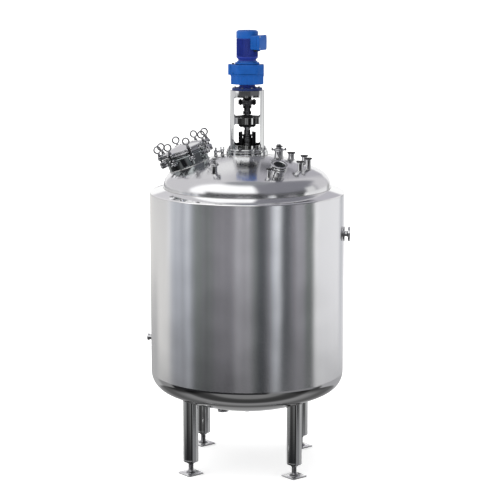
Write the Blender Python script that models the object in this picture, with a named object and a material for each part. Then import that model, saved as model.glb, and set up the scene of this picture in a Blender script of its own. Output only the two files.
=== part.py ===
# Jacketed mixing tank: a round vessel inside a jacket, on four levelling legs,
# with a gearmotor on a windowed lantern, a manway and small head nozzles.
# Metres, +Z up. The origin is on the tank's axis, at floor level.
import bpy
import bmesh
from math import asin, atan2, cos, hypot, pi, radians, sin, sqrt
from mathutils import Matrix, Vector

# Driving sizes
GAP = 0.0003               # clearance left between pieces that touch
THROUGH = 0.12             # how far a hole's cutter reaches past the plate it cuts
PLATE = 0.006              # wall of the vessel and of the jacket
VESSEL_R = 0.600           # outside of the inner vessel
JACKET_R = 0.700           # outside of the jacket
JACKET_BASE_Z = 0.694      # seam between jacket and its dished bottom
JACKET_TOP_Z = 2.000       # seam between jacket and shoulder
SHOULDER_TOP_Z = 2.044     # where the shoulder meets the head
VESSEL_BASE_Z = 0.780      # seam between vessel and its dished bottom
VESSEL_TOP_Z = 2.038       # seam between vessel and head
STRAIGHT = 0.010           # straight edge of the head below its knuckle
LEG_CIRCLE_R = 0.5257      # the four legs stand on this circle
LEG_TURN = radians(39.67)  # where on the circle the first leg stands
LEG_R = 0.054
LEG_FOOT_Z = 0.095
FOOT_SIDE = 0.134
MANWAY_OUT = 0.416         # manway centre, measured out from the axis
MANWAY_R = 0.150
SHAFT_R = 0.020
LANTERN_R = 0.122
MOTOR_R = 0.077
MOTOR_TOP_Z = 3.157

# Facets round each kind of circle
LARGE = 48
DRUM = 32
MIDDLE = 20
SMALL = 12
TINY = 8


def clear_scene():
    for old in list(bpy.data.objects):
        bpy.data.objects.remove(old, do_unlink=True)


def finish(name, colour, rough, metal):
    """One material for one piece."""
    made = bpy.data.materials.new(name)
    made.use_nodes = True
    shader = made.node_tree.nodes["Principled BSDF"]
    shader.inputs["Base Color"].default_value = (*colour, 1.0)
    shader.inputs["Roughness"].default_value = rough
    shader.inputs["Metallic"].default_value = metal
    return made


def polished(name):
    return finish(name + "_polished_steel", (0.78, 0.78, 0.79), 0.08, 1.0)


def satin(name):
    return finish(name + "_satin_steel", (0.70, 0.70, 0.71), 0.30, 1.0)


def dark(name):
    return finish(name + "_dark_steel", (0.12, 0.12, 0.13), 0.40, 1.0)


def blue(name):
    return finish(name + "_blue_paint", (0.02, 0.12, 0.48), 0.40, 0.0)


def piece(name, bm, material):
    """Turns a bmesh into a named object with its normals pointing out."""
    bmesh.ops.remove_doubles(bm, verts=bm.verts, dist=0.00001)
    bmesh.ops.recalc_face_normals(bm, faces=bm.faces)
    mesh = bpy.data.meshes.new(name)
    bm.to_mesh(mesh)
    bm.free()
    mesh.shade_smooth()
    mesh.set_sharp_from_angle(angle=radians(35))
    made = bpy.data.objects.new(name, mesh)
    bpy.context.collection.objects.link(made)
    if material:
        mesh.materials.append(material)
    return made


def turned(name, outline, material=None, steps=MIDDLE):
    """A round piece: the outline (radius, height) is spun once about Z."""
    bm = bmesh.new()
    points = [bm.verts.new((radius, 0.0, height)) for radius, height in outline]
    edges = [bm.edges.new(pair) for pair in zip(points, points[1:])]
    if outline[0][0] > 0.0:
        edges.append(bm.edges.new((points[-1], points[0])))
    bmesh.ops.spin(bm, geom=points + edges, cent=(0, 0, 0), axis=(0, 0, 1),
                   angle=2 * pi, steps=steps, use_merge=True)
    return piece(name, bm, material)


def block(name, low, high, material=None):
    """A box between two corners."""
    bm = bmesh.new()
    middle = (Vector(low) + Vector(high)) / 2
    size = Vector(high) - Vector(low)
    place = Matrix.Translation(middle) @ Matrix.Diagonal((*size, 1.0))
    bmesh.ops.create_cube(bm, size=1.0, matrix=place)
    return piece(name, bm, material)


def plate_of(name, corners, low, high, material=None):
    """A flat outline of (x, y) corners, raised from one height to another."""
    bm = bmesh.new()
    face = bm.faces.new([bm.verts.new((x, y, low)) for x, y in corners])
    raised = bmesh.ops.extrude_face_region(bm, geom=[face])
    moved = [item for item in raised["geom"] if isinstance(item, bmesh.types.BMVert)]
    bmesh.ops.translate(bm, verts=moved, vec=(0, 0, high - low))
    return piece(name, bm, material)


def place(made, frame):
    made.matrix_world = frame
    return made


def tool(made):
    """Marks a solid that only shapes another one."""
    made.hide_render = True
    made.display_type = "WIRE"
    return made


def shape(made, operation, *others):
    """Cuts other solids away from a piece, or joins them to it."""
    for other in others:
        step = made.modifiers.new(operation.lower(), "BOOLEAN")
        step.operation = operation
        step.solver = "EXACT"
        step.object = tool(other)
    return made


def arc(centre, radius, start, end, steps):
    """Points on an arc in the (radius, height) plane, angles in degrees."""
    turns = [radians(start + (end - start) * k / steps) for k in range(steps + 1)]
    return [(centre[0] + radius * cos(t), centre[1] + radius * sin(t)) for t in turns]


class Dish:
    """A dished end: a shallow crown joined to the wall by a tight knuckle.
    The crown's radius is twice the wall's, and the knuckle's a fifth of it."""

    def __init__(self, wall_r, seam_z, side):
        self.wall_r = wall_r
        self.seam_z = seam_z
        self.side = side            # 1 for a head, -1 for a bottom
        self.crown = 2.0 * wall_r
        self.knuckle = 0.2 * wall_r
        self.knuckle_r = wall_r - self.knuckle
        reach = self.crown - self.knuckle
        self.crown_z = seam_z - side * sqrt(reach ** 2 - self.knuckle_r ** 2)
        self.join = asin(self.knuckle_r / reach)

    def curve(self, inset, hole_r, crown_steps=4, knuckle_steps=4):
        """From the hole's edge out to the seam, inset into the plate."""
        crown = self.crown - inset
        knuckle = self.knuckle - inset
        start = asin(hole_r / crown)
        points = []
        for k in range(crown_steps + 1):
            t = start + (self.join - start) * k / crown_steps
            points.append((crown * sin(t), self.crown_z + self.side * crown * cos(t)))
        points[0] = (hole_r, points[0][1])
        for k in range(1, knuckle_steps + 1):
            t = self.join + (pi / 2 - self.join) * k / knuckle_steps
            height = self.seam_z + self.side * knuckle * cos(t)
            points.append((self.knuckle_r + knuckle * sin(t), height))
        return points

    def section(self, hole_r, straight=0.0):
        """The plate's whole cross-section, coarser on its hidden side."""
        outer = self.curve(0.0, hole_r)
        inner = self.curve(PLATE, hole_r, 3, 2)
        edge_z = self.seam_z - self.side * straight
        rim = [(self.wall_r, edge_z), (self.wall_r - PLATE, edge_z)] if straight else []
        return outer + rim + inner[::-1]

    def height(self, radius):
        """The outer surface's height at a radius on the crown."""
        return self.crown_z + self.side * sqrt(self.crown ** 2 - radius ** 2)

    def tilt(self, radius):
        return asin(radius / self.crown)


HEAD = Dish(VESSEL_R, VESSEL_TOP_Z + STRAIGHT, 1)
VESSEL_DISH = Dish(VESSEL_R, VESSEL_BASE_Z - GAP, -1)
JACKET_DISH = Dish(JACKET_R, JACKET_BASE_Z - GAP, -1)


def upright(x, y, z=0.0, turn=0.0):
    return Matrix.Translation((x, y, z)) @ Matrix.Rotation(turn, 4, "Z")


def on_head(radius, azimuth):
    """A frame on the head's surface, its Z along the surface's normal."""
    out = Matrix.Rotation(azimuth, 4, "Z")
    foot = Matrix.Translation((radius, 0, HEAD.height(radius)))
    return out @ foot @ Matrix.Rotation(HEAD.tilt(radius), 4, "Y")


def sideways(azimuth, z):
    """A frame on the axis whose Z points outwards at an azimuth."""
    out = Matrix.Rotation(azimuth, 4, "Z") @ Matrix.Translation((0, 0, z))
    return out @ Matrix.Rotation(pi / 2, 4, "Y")


# Head nozzles: name, x, y, tube radius, height above the head, ferrule radius
NOZZLES = (
    ("spray_nozzle", 0.226, -0.055, 0.0318, 0.058, 0.0360),
    ("vent_nozzle", 0.316, 0.005, 0.0225, 0.050, 0.0270),
    ("feed_nozzle_right", 0.432, -0.166, 0.0190, 0.080, 0.0253),
    ("feed_nozzle_front", 0.372, -0.272, 0.0190, 0.070, 0.0253),
    ("feed_nozzle_rear", 0.410, 0.030, 0.0190, 0.055, 0.0253),
    ("lamp_nozzle", 0.150, -0.478, 0.0127, 0.062, 0.0165),
    ("gauge_nozzle", -0.226, 0.030, 0.0127, 0.036, 0.0165),
    ("air_nozzle", -0.178, 0.015, 0.0127, 0.040, 0.0165),
    ("dosing_nozzle", -0.227, -0.400, 0.0190, 0.064, 0.0253),
)
NECK_WALL = 0.003
NECK_INSIDE = 0.030        # how far a neck reaches below the head's outer face
FERRULE = 0.007            # thickness of a ferrule's rim
CLOSED = 0.009             # thickness of the top that closes a nozzle

SIGHT_OUT = 0.470
SIGHT_TURN = radians(-63.5)
SIGHT_R = 0.060
SIGHT_NECK_R = 0.045
MANWAY_BOLTS = 8
MANWAY_BOLT_R = 0.183
MANWAY_FIRST = radians(14.5)
NECK_TOP = 0.086           # manway neck above the head, along its own axis
LID_RIM = 0.124
PAD_R = 0.150
PAD_NECK_R = 0.100
PAD_TOP_Z = 2.298
LANTERN_WALL = 0.008
LANTERN_TOP_Z = 2.733
WINDOWS = ((1, 2.346, 2.498), (2, 2.542, 2.686))
DRIVE_Z = 2.750            # where the gear unit stands on its adapter plate
CASE_Z = 2.776
SEAM_Z = 2.842             # between the gear unit's case and its cover
CASE_TOP_Z = 2.918
COWL_Z = 3.100
INLET_TURN = radians(-6.0)
INLET_Z = 1.708
OUTLET_TURN = radians(163.0)
OUTLET_Z = 0.880
PIPE_R = 0.019
DRAIN_X, DRAIN_Y = -0.175, -0.200
DRAIN_Z = 0.400            # the jacket's bottom is above this at its drain
DRAIN_R = 0.020
BOTTOM_PIPE_R = 0.0255

MANWAY = on_head(MANWAY_OUT, pi)
SIGHT = on_head(SIGHT_OUT, SIGHT_TURN)


def vessel():
    wall = [(VESSEL_R, VESSEL_BASE_Z), (VESSEL_R, VESSEL_TOP_Z - GAP),
            (VESSEL_R - PLATE, VESSEL_TOP_Z - GAP), (VESSEL_R - PLATE, VESSEL_BASE_Z)]
    turned("vessel_shell", wall, satin("vessel_shell"), DRUM)
    hole = BOTTOM_PIPE_R + GAP
    turned("vessel_bottom", VESSEL_DISH.section(hole), satin("vessel_bottom"), DRUM)
    head = turned("vessel_head", HEAD.section(PAD_NECK_R + GAP, STRAIGHT), polished("vessel_head"), LARGE)
    for name, x, y, radius, _, _ in NOZZLES:
        z = HEAD.height(hypot(x, y))
        hole = rod(name + "_hole", radius + GAP, -THROUGH, THROUGH, SMALL)
        shape(head, "DIFFERENCE", place(hole, upright(x, y, z)))
    sight_hole = rod("sight_hole", SIGHT_NECK_R + GAP, -THROUGH, THROUGH, MIDDLE)
    manway_hole = rod("manway_hole", MANWAY_R + GAP, -THROUGH, THROUGH, DRUM)
    shape(head, "DIFFERENCE", place(sight_hole, SIGHT), place(manway_hole, MANWAY))


def rod(name, radius, low, high, steps, material=None):
    return turned(name, [(0, low), (radius, low), (radius, high), (0, high)], material, steps)


def ring(name, inner, outer, low, high, steps, material=None):
    section = [(inner, low), (outer, low), (outer, high), (inner, high)]
    return turned(name, section, material, steps)


def jacket():
    shell = ring("jacket_shell", JACKET_R - PLATE, JACKET_R, JACKET_BASE_Z, JACKET_TOP_Z - GAP,
                 LARGE, satin("jacket_shell"))
    inlet_hole = rod("inlet_hole", PIPE_R + GAP, JACKET_R - THROUGH, JACKET_R + THROUGH, SMALL)
    outlet_hole = rod("outlet_hole", PIPE_R + GAP, JACKET_R - THROUGH, JACKET_R + THROUGH, SMALL)
    shape(shell, "DIFFERENCE", place(inlet_hole, sideways(INLET_TURN, INLET_Z)),
          place(outlet_hole, sideways(OUTLET_TURN, OUTLET_Z)))
    corner = 0.020
    slope = 74
    centre = (JACKET_R - corner, JACKET_TOP_Z)
    head_r = VESSEL_R + GAP
    outer = arc(centre, corner, 0, slope, 2) + [(head_r, SHOULDER_TOP_Z)]
    inner = arc(centre, corner - PLATE, 0, slope, 2) + [(head_r, SHOULDER_TOP_Z - PLATE)]
    turned("jacket_shoulder", outer + inner[::-1], polished("jacket_shoulder"), LARGE)
    dish = JACKET_DISH.section(BOTTOM_PIPE_R + GAP)
    bottom = turned("jacket_bottom", dish, polished("jacket_bottom"), LARGE)
    drain_hole = rod("drain_hole", DRAIN_R + GAP, DRAIN_Z, DRAIN_Z + THROUGH, SMALL)
    shape(bottom, "DIFFERENCE", place(drain_hole, upright(DRAIN_X, DRAIN_Y)))


def pipes():
    """The jacket's inlet and outlet, and the vessel's bottom outlet."""
    flange_r = 0.053
    flange = 0.016
    tip = 0.744
    root = JACKET_R - 0.020
    pad = JACKET_R + GAP
    pad_top = pad + 0.005
    bore = PIPE_R - NECK_WALL
    inlet = [(bore, root), (PIPE_R, root), (PIPE_R, pad), (flange_r, pad), (flange_r, pad_top),
             (PIPE_R, pad_top), (PIPE_R, tip - flange), (flange_r, tip - flange),
             (flange_r, tip), (bore, tip)]
    place(turned("jacket_inlet", inlet, polished("jacket_inlet"), SMALL), sideways(INLET_TURN, INLET_Z))
    reach = tip * cos(INLET_TURN) - flange_r * sin(INLET_TURN)
    ferrule_r = 0.0253
    tip = (reach - ferrule_r * sin(OUTLET_TURN)) / -cos(OUTLET_TURN)
    roof = tip - FERRULE
    outlet = [(0, roof), (bore, roof), (bore, root), (PIPE_R, root), (PIPE_R, roof - FERRULE),
              (ferrule_r, roof), (ferrule_r, tip), (0, tip)]
    place(turned("jacket_outlet", outlet, polished("jacket_outlet"), SMALL), sideways(OUTLET_TURN, OUTLET_Z))
    bore = BOTTOM_PIPE_R - NECK_WALL
    ferrule_r = 0.032
    low = 0.375
    top = 0.560
    tube = [(bore, low), (ferrule_r, low), (ferrule_r, low + FERRULE), (BOTTOM_PIPE_R, low + 2 * FERRULE),
            (BOTTOM_PIPE_R, top), (bore, top)]
    turned("outlet_pipe", tube, polished("outlet_pipe"), MIDDLE)


def drain():
    """A closed boss low on the jacket's bottom."""
    face_r = 0.040
    face_z = 0.427
    face = 0.010
    top = 0.480
    plug = [(0, face_z), (face_r, face_z), (face_r, face_z + face), (DRAIN_R, face_z + face),
            (DRAIN_R, top), (0, top)]
    place(turned("jacket_drain", plug, polished("jacket_drain"), SMALL), upright(DRAIN_X, DRAIN_Y))


def legs():
    """Each leg is a tube cut to the dish, on a foot that screws into its base."""
    screw_r = 0.018
    screw_top = 0.150
    boss_r = 0.034
    boss = 0.004
    cone = 0.018
    nut_r = 0.027
    nut = 0.014
    plate = 0.010
    base_z = LEG_FOOT_Z + 0.012
    wall = 0.004
    tube_top = JACKET_BASE_Z + 0.006
    dish = [(radius, z - GAP) for radius, z in JACKET_DISH.curve(0.0, BOTTOM_PIPE_R + GAP)]
    above = JACKET_BASE_Z + 0.1
    skin = [(0, dish[0][1])] + dish + [(JACKET_R, above), (0, above)]
    for k in range(4):
        turn = LEG_TURN + k * pi / 2
        spot = upright(LEG_CIRCLE_R * cos(turn), LEG_CIRCLE_R * sin(turn), 0.0, turn)
        number = str(k + 1)
        tube = [(screw_r + GAP, LEG_FOOT_Z), (LEG_R, LEG_FOOT_Z), (LEG_R, tube_top),
                (LEG_R - wall, tube_top), (LEG_R - wall, base_z), (screw_r + GAP, base_z)]
        leg = place(turned("leg_" + number, tube, polished("leg_" + number), MIDDLE), spot)
        shape(leg, "DIFFERENCE", turned("leg_dish_" + number, skin, None, LARGE))
        nut_top = LEG_FOOT_Z - GAP
        screw = [(0, plate / 2), (boss_r, plate / 2), (boss_r, plate + boss), (screw_r, plate + cone),
                 (screw_r, nut_top - nut), (nut_r, nut_top - nut), (nut_r, nut_top),
                 (screw_r, nut_top), (screw_r, screw_top), (0, screw_top)]
        half = FOOT_SIDE / 2
        foot = block("foot_" + number, (-half, -half, 0), (half, half, plate), polished("foot_" + number))
        place(foot, spot)
        shape(foot, "UNION", place(turned("foot_screw_" + number, screw, None, SMALL), spot))


def ears(name, count, low, high, inner, outer, slot, thick):
    """Pairs of ears round a ring, one pair for each swing bolt."""
    bm = bmesh.new()
    for k in range(count):
        turn = Matrix.Rotation(MANWAY_FIRST + k * 2 * pi / count, 4, "Z")
        for side in (-1, 1):
            middle = Vector(((inner + outer) / 2, side * (slot + thick) / 2, (low + high) / 2))
            size = Matrix.Diagonal((outer - inner, thick, high - low, 1.0))
            bmesh.ops.create_cube(bm, size=1.0, matrix=turn @ Matrix.Translation(middle) @ size)
    return piece(name, bm, None)


def manway():
    """A tilted round neck and its lid, held shut by swing bolts with ring nuts."""
    bore = 0.142
    seat = 0.156
    seat_low = 0.070
    slot = 0.020
    thick = 0.008
    root = 0.145
    outer = 0.200
    neck = [(bore, -seat_low), (MANWAY_R, -seat_low), (MANWAY_R, seat_low), (seat, seat_low),
            (seat, NECK_TOP), (bore, NECK_TOP)]
    body = place(turned("manway_neck", neck, polished("manway_neck"), DRUM), MANWAY)
    neck_ears = ears("neck_ears", MANWAY_BOLTS, 0.034, 0.080, root, outer, slot, thick)
    shape(body, "UNION", place(neck_ears, MANWAY))
    under = NECK_TOP + GAP
    edge = 0.006
    dome = ((0.100, 0.018), (0.046, 0.026), (0, 0.028))
    lid = [(0, under), (seat, under), (seat, LID_RIM - edge), (seat - edge, LID_RIM)]
    lid += [(radius, LID_RIM + rise) for radius, rise in dome]
    cover = place(turned("manway_lid", lid, polished("manway_lid"), DRUM), MANWAY)
    lid_ears = ears("lid_ears", MANWAY_BOLTS, 0.094, 0.122, root, outer, slot, thick)
    shape(cover, "UNION", place(lid_ears, MANWAY))
    swing = radians(18)
    for k in range(MANWAY_BOLTS):
        angle = MANWAY_FIRST + k * 2 * pi / MANWAY_BOLTS
        name = "swing_bolt_" + str(k + 1)
        mesh = swing_bolt(name, slot, swing * sin(2 * k + 1) - angle)
        bolt = bpy.data.objects.new(name, mesh)
        bolt.data.materials.append(polished(name))
        bpy.context.collection.objects.link(bolt)
        out = Matrix.Rotation(angle, 4, "Z") @ Matrix.Translation((MANWAY_BOLT_R, 0, 0))
        place(bolt, MANWAY @ out)


def swing_bolt(name, slot, ring_turn):
    """An eye between the neck's ears, a rod, a collar on the lid's ears and a
    ring nut, which is turned to its own angle round the rod."""
    bolt_r = 0.007
    eye = 0.052
    eye_r = 0.012
    collar = 0.1223
    collar_r = 0.014
    collar_top = 0.1403
    tip_r = 0.008
    ring_r = 0.0235
    bar_r = 0.0055
    ring_z = 0.174
    section = [(0, eye), (bolt_r, eye), (bolt_r, collar), (collar_r, collar), (collar_r, collar_top),
               (tip_r, ring_z - ring_r), (0, ring_z - ring_r)]
    bolt = place(turned(name + "_rod", section, None, TINY), Matrix.Rotation(pi / TINY, 4, "Z"))
    across = Matrix.Rotation(pi / 2, 4, "X")
    eye_boss = rod(name + "_eye", eye_r, GAP - slot / 2, slot / 2 - GAP, TINY)
    place(eye_boss, Matrix.Translation((0, 0, eye)) @ across)
    bm = bmesh.new()
    bmesh.ops.create_circle(bm, segments=6, radius=bar_r, matrix=Matrix.Translation((ring_r, 0, 0)) @ across)
    bmesh.ops.spin(bm, geom=bm.verts[:] + bm.edges[:], cent=(0, 0, 0), axis=(0, 0, 1),
                   angle=2 * pi, steps=SMALL, use_merge=True)
    loop = place(piece(name + "_ring", bm, None), upright(0, 0, ring_z, ring_turn) @ across)
    shape(bolt, "UNION", eye_boss, loop)
    return settled(bolt)


def settled(made):
    """The finished mesh of a piece, with its place in it, for copies to share."""
    bpy.context.view_layer.update()
    seen = bpy.context.evaluated_depsgraph_get()
    mesh = bpy.data.meshes.new_from_object(made.evaluated_get(seen))
    mesh.transform(made.matrix_world)
    tool(made)
    return mesh


def nozzles():
    """Short vertical necks through the head, each closed by a blind ferrule."""
    for name, x, y, radius, tall, ferrule_r in NOZZLES:
        z = HEAD.height(hypot(x, y))
        inner = radius - NECK_WALL
        roof = tall - FERRULE
        under = tall - CLOSED
        section = [(0, under), (inner, under), (inner, -NECK_INSIDE), (radius, -NECK_INSIDE),
                   (radius, roof - FERRULE), (ferrule_r, roof), (ferrule_r, tall), (0, tall)]
        neck = turned(name, section, polished(name), SMALL)
        place(neck, upright(x, y, z))
    air_line()
    clamps()
    fittings()


def nozzle_row(name):
    """A nozzle's row, with the height of its top in place of its own height."""
    _, x, y, radius, tall, ferrule_r = next(row for row in NOZZLES if row[0] == name)
    return x, y, radius, HEAD.height(hypot(x, y)) + tall, ferrule_r


def air_line():
    """A short pipe from the air nozzle to the gauge nozzle, two lugs on the
    air nozzle's cap and a stem on the gauge nozzle's."""
    line_r = 0.009
    lug_apart = 0.0105
    lug_half = 0.0045
    lug_depth = 0.004
    lug_top = 0.018
    stem_r = 0.007
    stem_top = 0.024
    overlap = 0.002
    x, y, radius, top, _ = nozzle_row("air_nozzle")
    gauge_x, gauge_y, _, gauge_top, gauge_r = nozzle_row("gauge_nozzle")
    start = radius - NECK_WALL / 2
    end = hypot(gauge_x - x, gauge_y - y) - gauge_r * cos(pi / SMALL) - 3 * GAP
    line = rod("air_line", line_r, start, end, TINY)
    line_z = gauge_top - FERRULE / 2
    place(line, Matrix.Translation((x, y, 0)) @ sideways(atan2(gauge_y - y, gauge_x - x), line_z))
    air = shape(bpy.data.objects["air_nozzle"], "UNION", line)
    for side in (-lug_apart, lug_apart):
        low = (side - lug_half, -lug_depth, -overlap)
        lug = block("air_lug", low, (side + lug_half, lug_depth, lug_top))
        shape(air, "UNION", place(lug, upright(x, y, top)))
    stem = rod("gauge_stem", stem_r, -overlap, stem_top, TINY)
    shape(bpy.data.objects["gauge_nozzle"], "UNION", place(stem, upright(gauge_x, gauge_y, gauge_top)))


def clamps():
    """Two-piece clamp rings with wing nuts, round two of the ferrules."""
    band = 0.005
    band_top = 0.003
    lug_half = 0.006
    lug_out = 0.014
    lug_top = 0.001
    wing_half = 0.003
    wing_in = 0.003
    wing_out = 0.009
    wing_top = 0.015
    for name, sides in (("spray_nozzle", (0.0, pi)), ("dosing_nozzle", (radians(-60),))):
        x, y, _, z, ferrule_r = nozzle_row(name)
        inner = ferrule_r + GAP
        outer = ferrule_r + band
        low = -FERRULE - band_top
        clamp = name.replace("nozzle", "clamp")
        closed = place(ring(clamp, inner, outer, low, band_top, SMALL, polished(clamp)), upright(x, y, z))
        lug_low = (inner + band / 2, -lug_half, low + 0.002)
        wing_low = (outer + wing_in, -wing_half, -0.002)
        for side in sides:
            lug = block(name + "_lug", lug_low, (outer + lug_out, lug_half, lug_top))
            wing = block(name + "_wing", wing_low, (outer + wing_out, wing_half, wing_top))
            facing = upright(x, y, z, side)
            shape(closed, "UNION", place(lug, facing), place(wing, facing))


def fittings():
    """The relief valve on the spray nozzle and the level probe on the dosing nozzle."""
    valve_foot = 0.028
    valve_r = 0.0145
    valve_top = 0.036
    valve = [(0, 0), (valve_foot, 0), (valve_foot, 0.008), (valve_r, 0.014), (valve_r, valve_top),
             (0, valve_top)]
    probe_foot = 0.017
    probe_neck = 0.008
    probe_head = 0.019
    probe_low = 0.030
    probe_top = 0.043
    probe = [(0, 0), (probe_foot, 0), (probe_foot, 0.006), (probe_neck, 0.010), (probe_neck, probe_low),
             (probe_head, probe_low), (probe_head, probe_top), (0, probe_top)]
    for name, nozzle, outline in (("relief_valve", "spray_nozzle", valve),
                                  ("level_probe", "dosing_nozzle", probe)):
        x, y, _, z, _ = nozzle_row(nozzle)
        place(turned(name, outline, polished(name), SMALL), upright(x, y, z + GAP))


def sight_glass():
    """A flanged window on the head, held by an upper ring."""
    bore = 0.038
    ring_bore = 0.040
    seat = 0.046
    flange_low = 0.042
    flange_top = 0.058
    pane_top = 0.070
    ring_top = 0.080
    neck = [(bore, -NECK_INSIDE), (SIGHT_NECK_R, -NECK_INSIDE), (SIGHT_NECK_R, flange_low),
            (SIGHT_R, flange_low), (SIGHT_R, flange_top), (bore, flange_top)]
    place(turned("sight_glass_neck", neck, polished("sight_glass_neck"), MIDDLE), SIGHT)
    low = flange_top + GAP
    lip = pane_top + GAP
    upper = [(seat + GAP, low), (SIGHT_R, low), (SIGHT_R, ring_top), (ring_bore, ring_top),
             (ring_bore, lip), (seat + GAP, lip)]
    place(turned("sight_glass_ring", upper, polished("sight_glass_ring"), MIDDLE), SIGHT)
    clear = finish("sight_glass", (0.80, 0.88, 0.86), 0.05, 0.0)
    place(rod("sight_glass_pane", seat, low, pane_top, MIDDLE, clear), SIGHT)


def drive_support():
    """The pad on the head, and the windowed lantern that carries the drive."""
    bore = 0.060
    low = 2.250
    pad = [(bore, low), (PAD_NECK_R, low), (PAD_NECK_R, HEAD.height(PAD_NECK_R) + GAP),
           (PAD_R, HEAD.height(PAD_R) + GAP), (PAD_R, PAD_TOP_Z), (bore, PAD_TOP_Z)]
    turned("pad_flange", pad, polished("pad_flange"), DRUM)
    base_z = PAD_TOP_Z + GAP
    inner = LANTERN_R - LANTERN_WALL
    flange_r = 0.146
    flange_top = base_z + 0.014
    top_bore = 0.040
    roof = LANTERN_TOP_Z - 0.012
    cage = [(inner, base_z), (flange_r, base_z), (flange_r, flange_top), (LANTERN_R, flange_top),
            (LANTERN_R, LANTERN_TOP_Z), (top_bore, LANTERN_TOP_Z), (top_bore, roof), (inner, roof)]
    lantern = turned("lantern", cage, satin("lantern"), DRUM)
    for number, low, high in WINDOWS:
        shape(lantern, "DIFFERENCE", window(number, low, high))
    adapter_bore = 0.026
    adapter_r = 0.108
    ring("adapter_plate", adapter_bore, adapter_r, LANTERN_TOP_Z + GAP, DRIVE_Z, DRUM,
         satin("adapter_plate"))


def window(number, low, high):
    """A rounded opening through the lantern, front and back."""
    half = 0.092
    corner = 0.016
    corners = []
    for x, z, start in ((half, high, 0), (-half, high, 90), (-half, low, 180), (half, low, 270)):
        centre_x = x - corner if x > 0 else x + corner
        centre_z = z - corner if z == high else z + corner
        corners += arc((centre_x, centre_z), corner, start, start + 90, 3)
    cutter = plate_of("window_" + str(number), corners, -LANTERN_R - THROUGH, LANTERN_R + THROUGH)
    return place(cutter, Matrix.Rotation(pi / 2, 4, "X"))


def rotor():
    """The shaft, the coupling in the lantern with the sleeve and nut under it,
    and the impeller."""
    shaft_low = 0.920
    shaft_top = 2.800
    rod("agitator_shaft", SHAFT_R, shaft_low, shaft_top, SMALL, satin("agitator_shaft"))
    bore = SHAFT_R + GAP
    nut_r = 0.030
    nut_low = 2.562
    nut_high = 2.582
    sleeve_r = 0.023
    hub = 0.031
    hub_low = 2.605
    hub_high = 2.716
    disc = 0.0635
    disc_low = 2.633
    disc_high = 2.661
    halves = [(bore, nut_low), (nut_r, nut_low), (nut_r, nut_high), (sleeve_r, nut_high),
              (sleeve_r, hub_low), (hub, hub_low), (hub, disc_low), (disc, disc_low), (disc, disc_high),
              (hub, disc_high), (hub, hub_high), (bore, hub_high)]
    turned("coupling", halves, dark("coupling"), MIDDLE)
    impeller_r = 0.220
    impeller_z = 0.965
    boss_r = 0.036
    boss_half = 0.035
    blade_root = 0.030
    blade_half = 0.004
    blade_wide = 0.040
    impeller = ring("impeller", bore, boss_r, impeller_z - boss_half, impeller_z + boss_half, SMALL,
                    polished("impeller"))
    lean = Matrix.Rotation(radians(45), 4, "X")
    for k in range(4):
        blade = block("blade_" + str(k + 1), (blade_root, -blade_half, -blade_wide),
                      (impeller_r, blade_half, blade_wide))
        frame = Matrix.Rotation(k * pi / 2, 4, "Z") @ Matrix.Translation((0, 0, impeller_z))
        shape(impeller, "UNION", place(blade, frame @ lean))


def bearings():
    """The bearing housing across the lantern, and the seal on the pad."""
    bore = SHAFT_R + GAP
    plate_r = LANTERN_R - LANTERN_WALL - GAP
    plate_low = 2.502
    plate_top = 2.538
    hub_r = 0.061
    hub_low = 2.473
    cap_r = 0.060
    cap_top_r = 0.034
    cap_top = 2.556
    housing = [(bore, hub_low), (hub_r, hub_low), (hub_r, plate_low), (plate_r, plate_low),
               (plate_r, plate_top), (cap_r, plate_top), (cap_top_r, cap_top), (bore, cap_top)]
    turned("bearing_housing", housing, dark("bearing_housing"), DRUM)
    low = PAD_TOP_Z + GAP
    foot_r = 0.100
    foot_top = low + 0.014
    body_r = 0.036
    body_top = 2.418
    nose_r = 0.023
    nose_top = 2.447
    body = [(bore, low), (foot_r, low), (foot_r, foot_top), (body_r, foot_top), (body_r, body_top),
            (nose_r, nose_top), (bore, nose_top)]
    seal = turned("shaft_seal", body, dark("shaft_seal"), MIDDLE)
    yoke_in = 0.040
    yoke_out = 0.062
    yoke_top = 2.433
    open_half = 0.034
    yoke = ring("yoke", yoke_in, yoke_out, low + 0.006, yoke_top, MIDDLE)
    open_low = low + 0.020
    front = block("yoke_front", (-open_half, -THROUGH, open_low), (open_half, THROUGH, yoke_top + THROUGH))
    shape(yoke, "DIFFERENCE", front)
    shape(seal, "UNION", yoke)


def chamfered(half_x, half_y, corner):
    """An eight-sided outline: a rectangle with its corners cut off."""
    quarter = [(half_x, half_y - corner), (half_x - corner, half_y)]
    right = [(x, -y) for x, y in reversed(quarter)] + quarter
    return right + [(-x, y) for x, y in reversed(right)]


def gearbox():
    """The gear unit: a case with a round neck, and its cover with a lobe."""
    neck_r = 0.064
    neck_low = DRIVE_Z + GAP
    bore_top = 2.802
    neck = rod("gearbox_case", neck_r, neck_low, CASE_Z + 0.01, MIDDLE, blue("gearbox_case"))
    lower = plate_of("case_body", chamfered(0.116, 0.096, 0.050), CASE_Z, SEAM_Z)
    shape(neck, "UNION", lower)
    shape(neck, "DIFFERENCE", rod("output_bore", SHAFT_R + GAP, neck_low - 0.01, bore_top, SMALL))
    lid = chamfered(0.119, 0.098, 0.052)
    cover = plate_of("gearbox_cover", lid, SEAM_Z + GAP, CASE_TOP_Z, blue("gearbox_cover"))
    lobe = plate_of("cover_lobe", chamfered(0.068, 0.050, 0.014), SEAM_Z + GAP, CASE_TOP_Z)
    lobe_x = -0.068
    shape(cover, "UNION", place(lobe, Matrix.Translation((lobe_x, 0, 0))))


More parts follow.
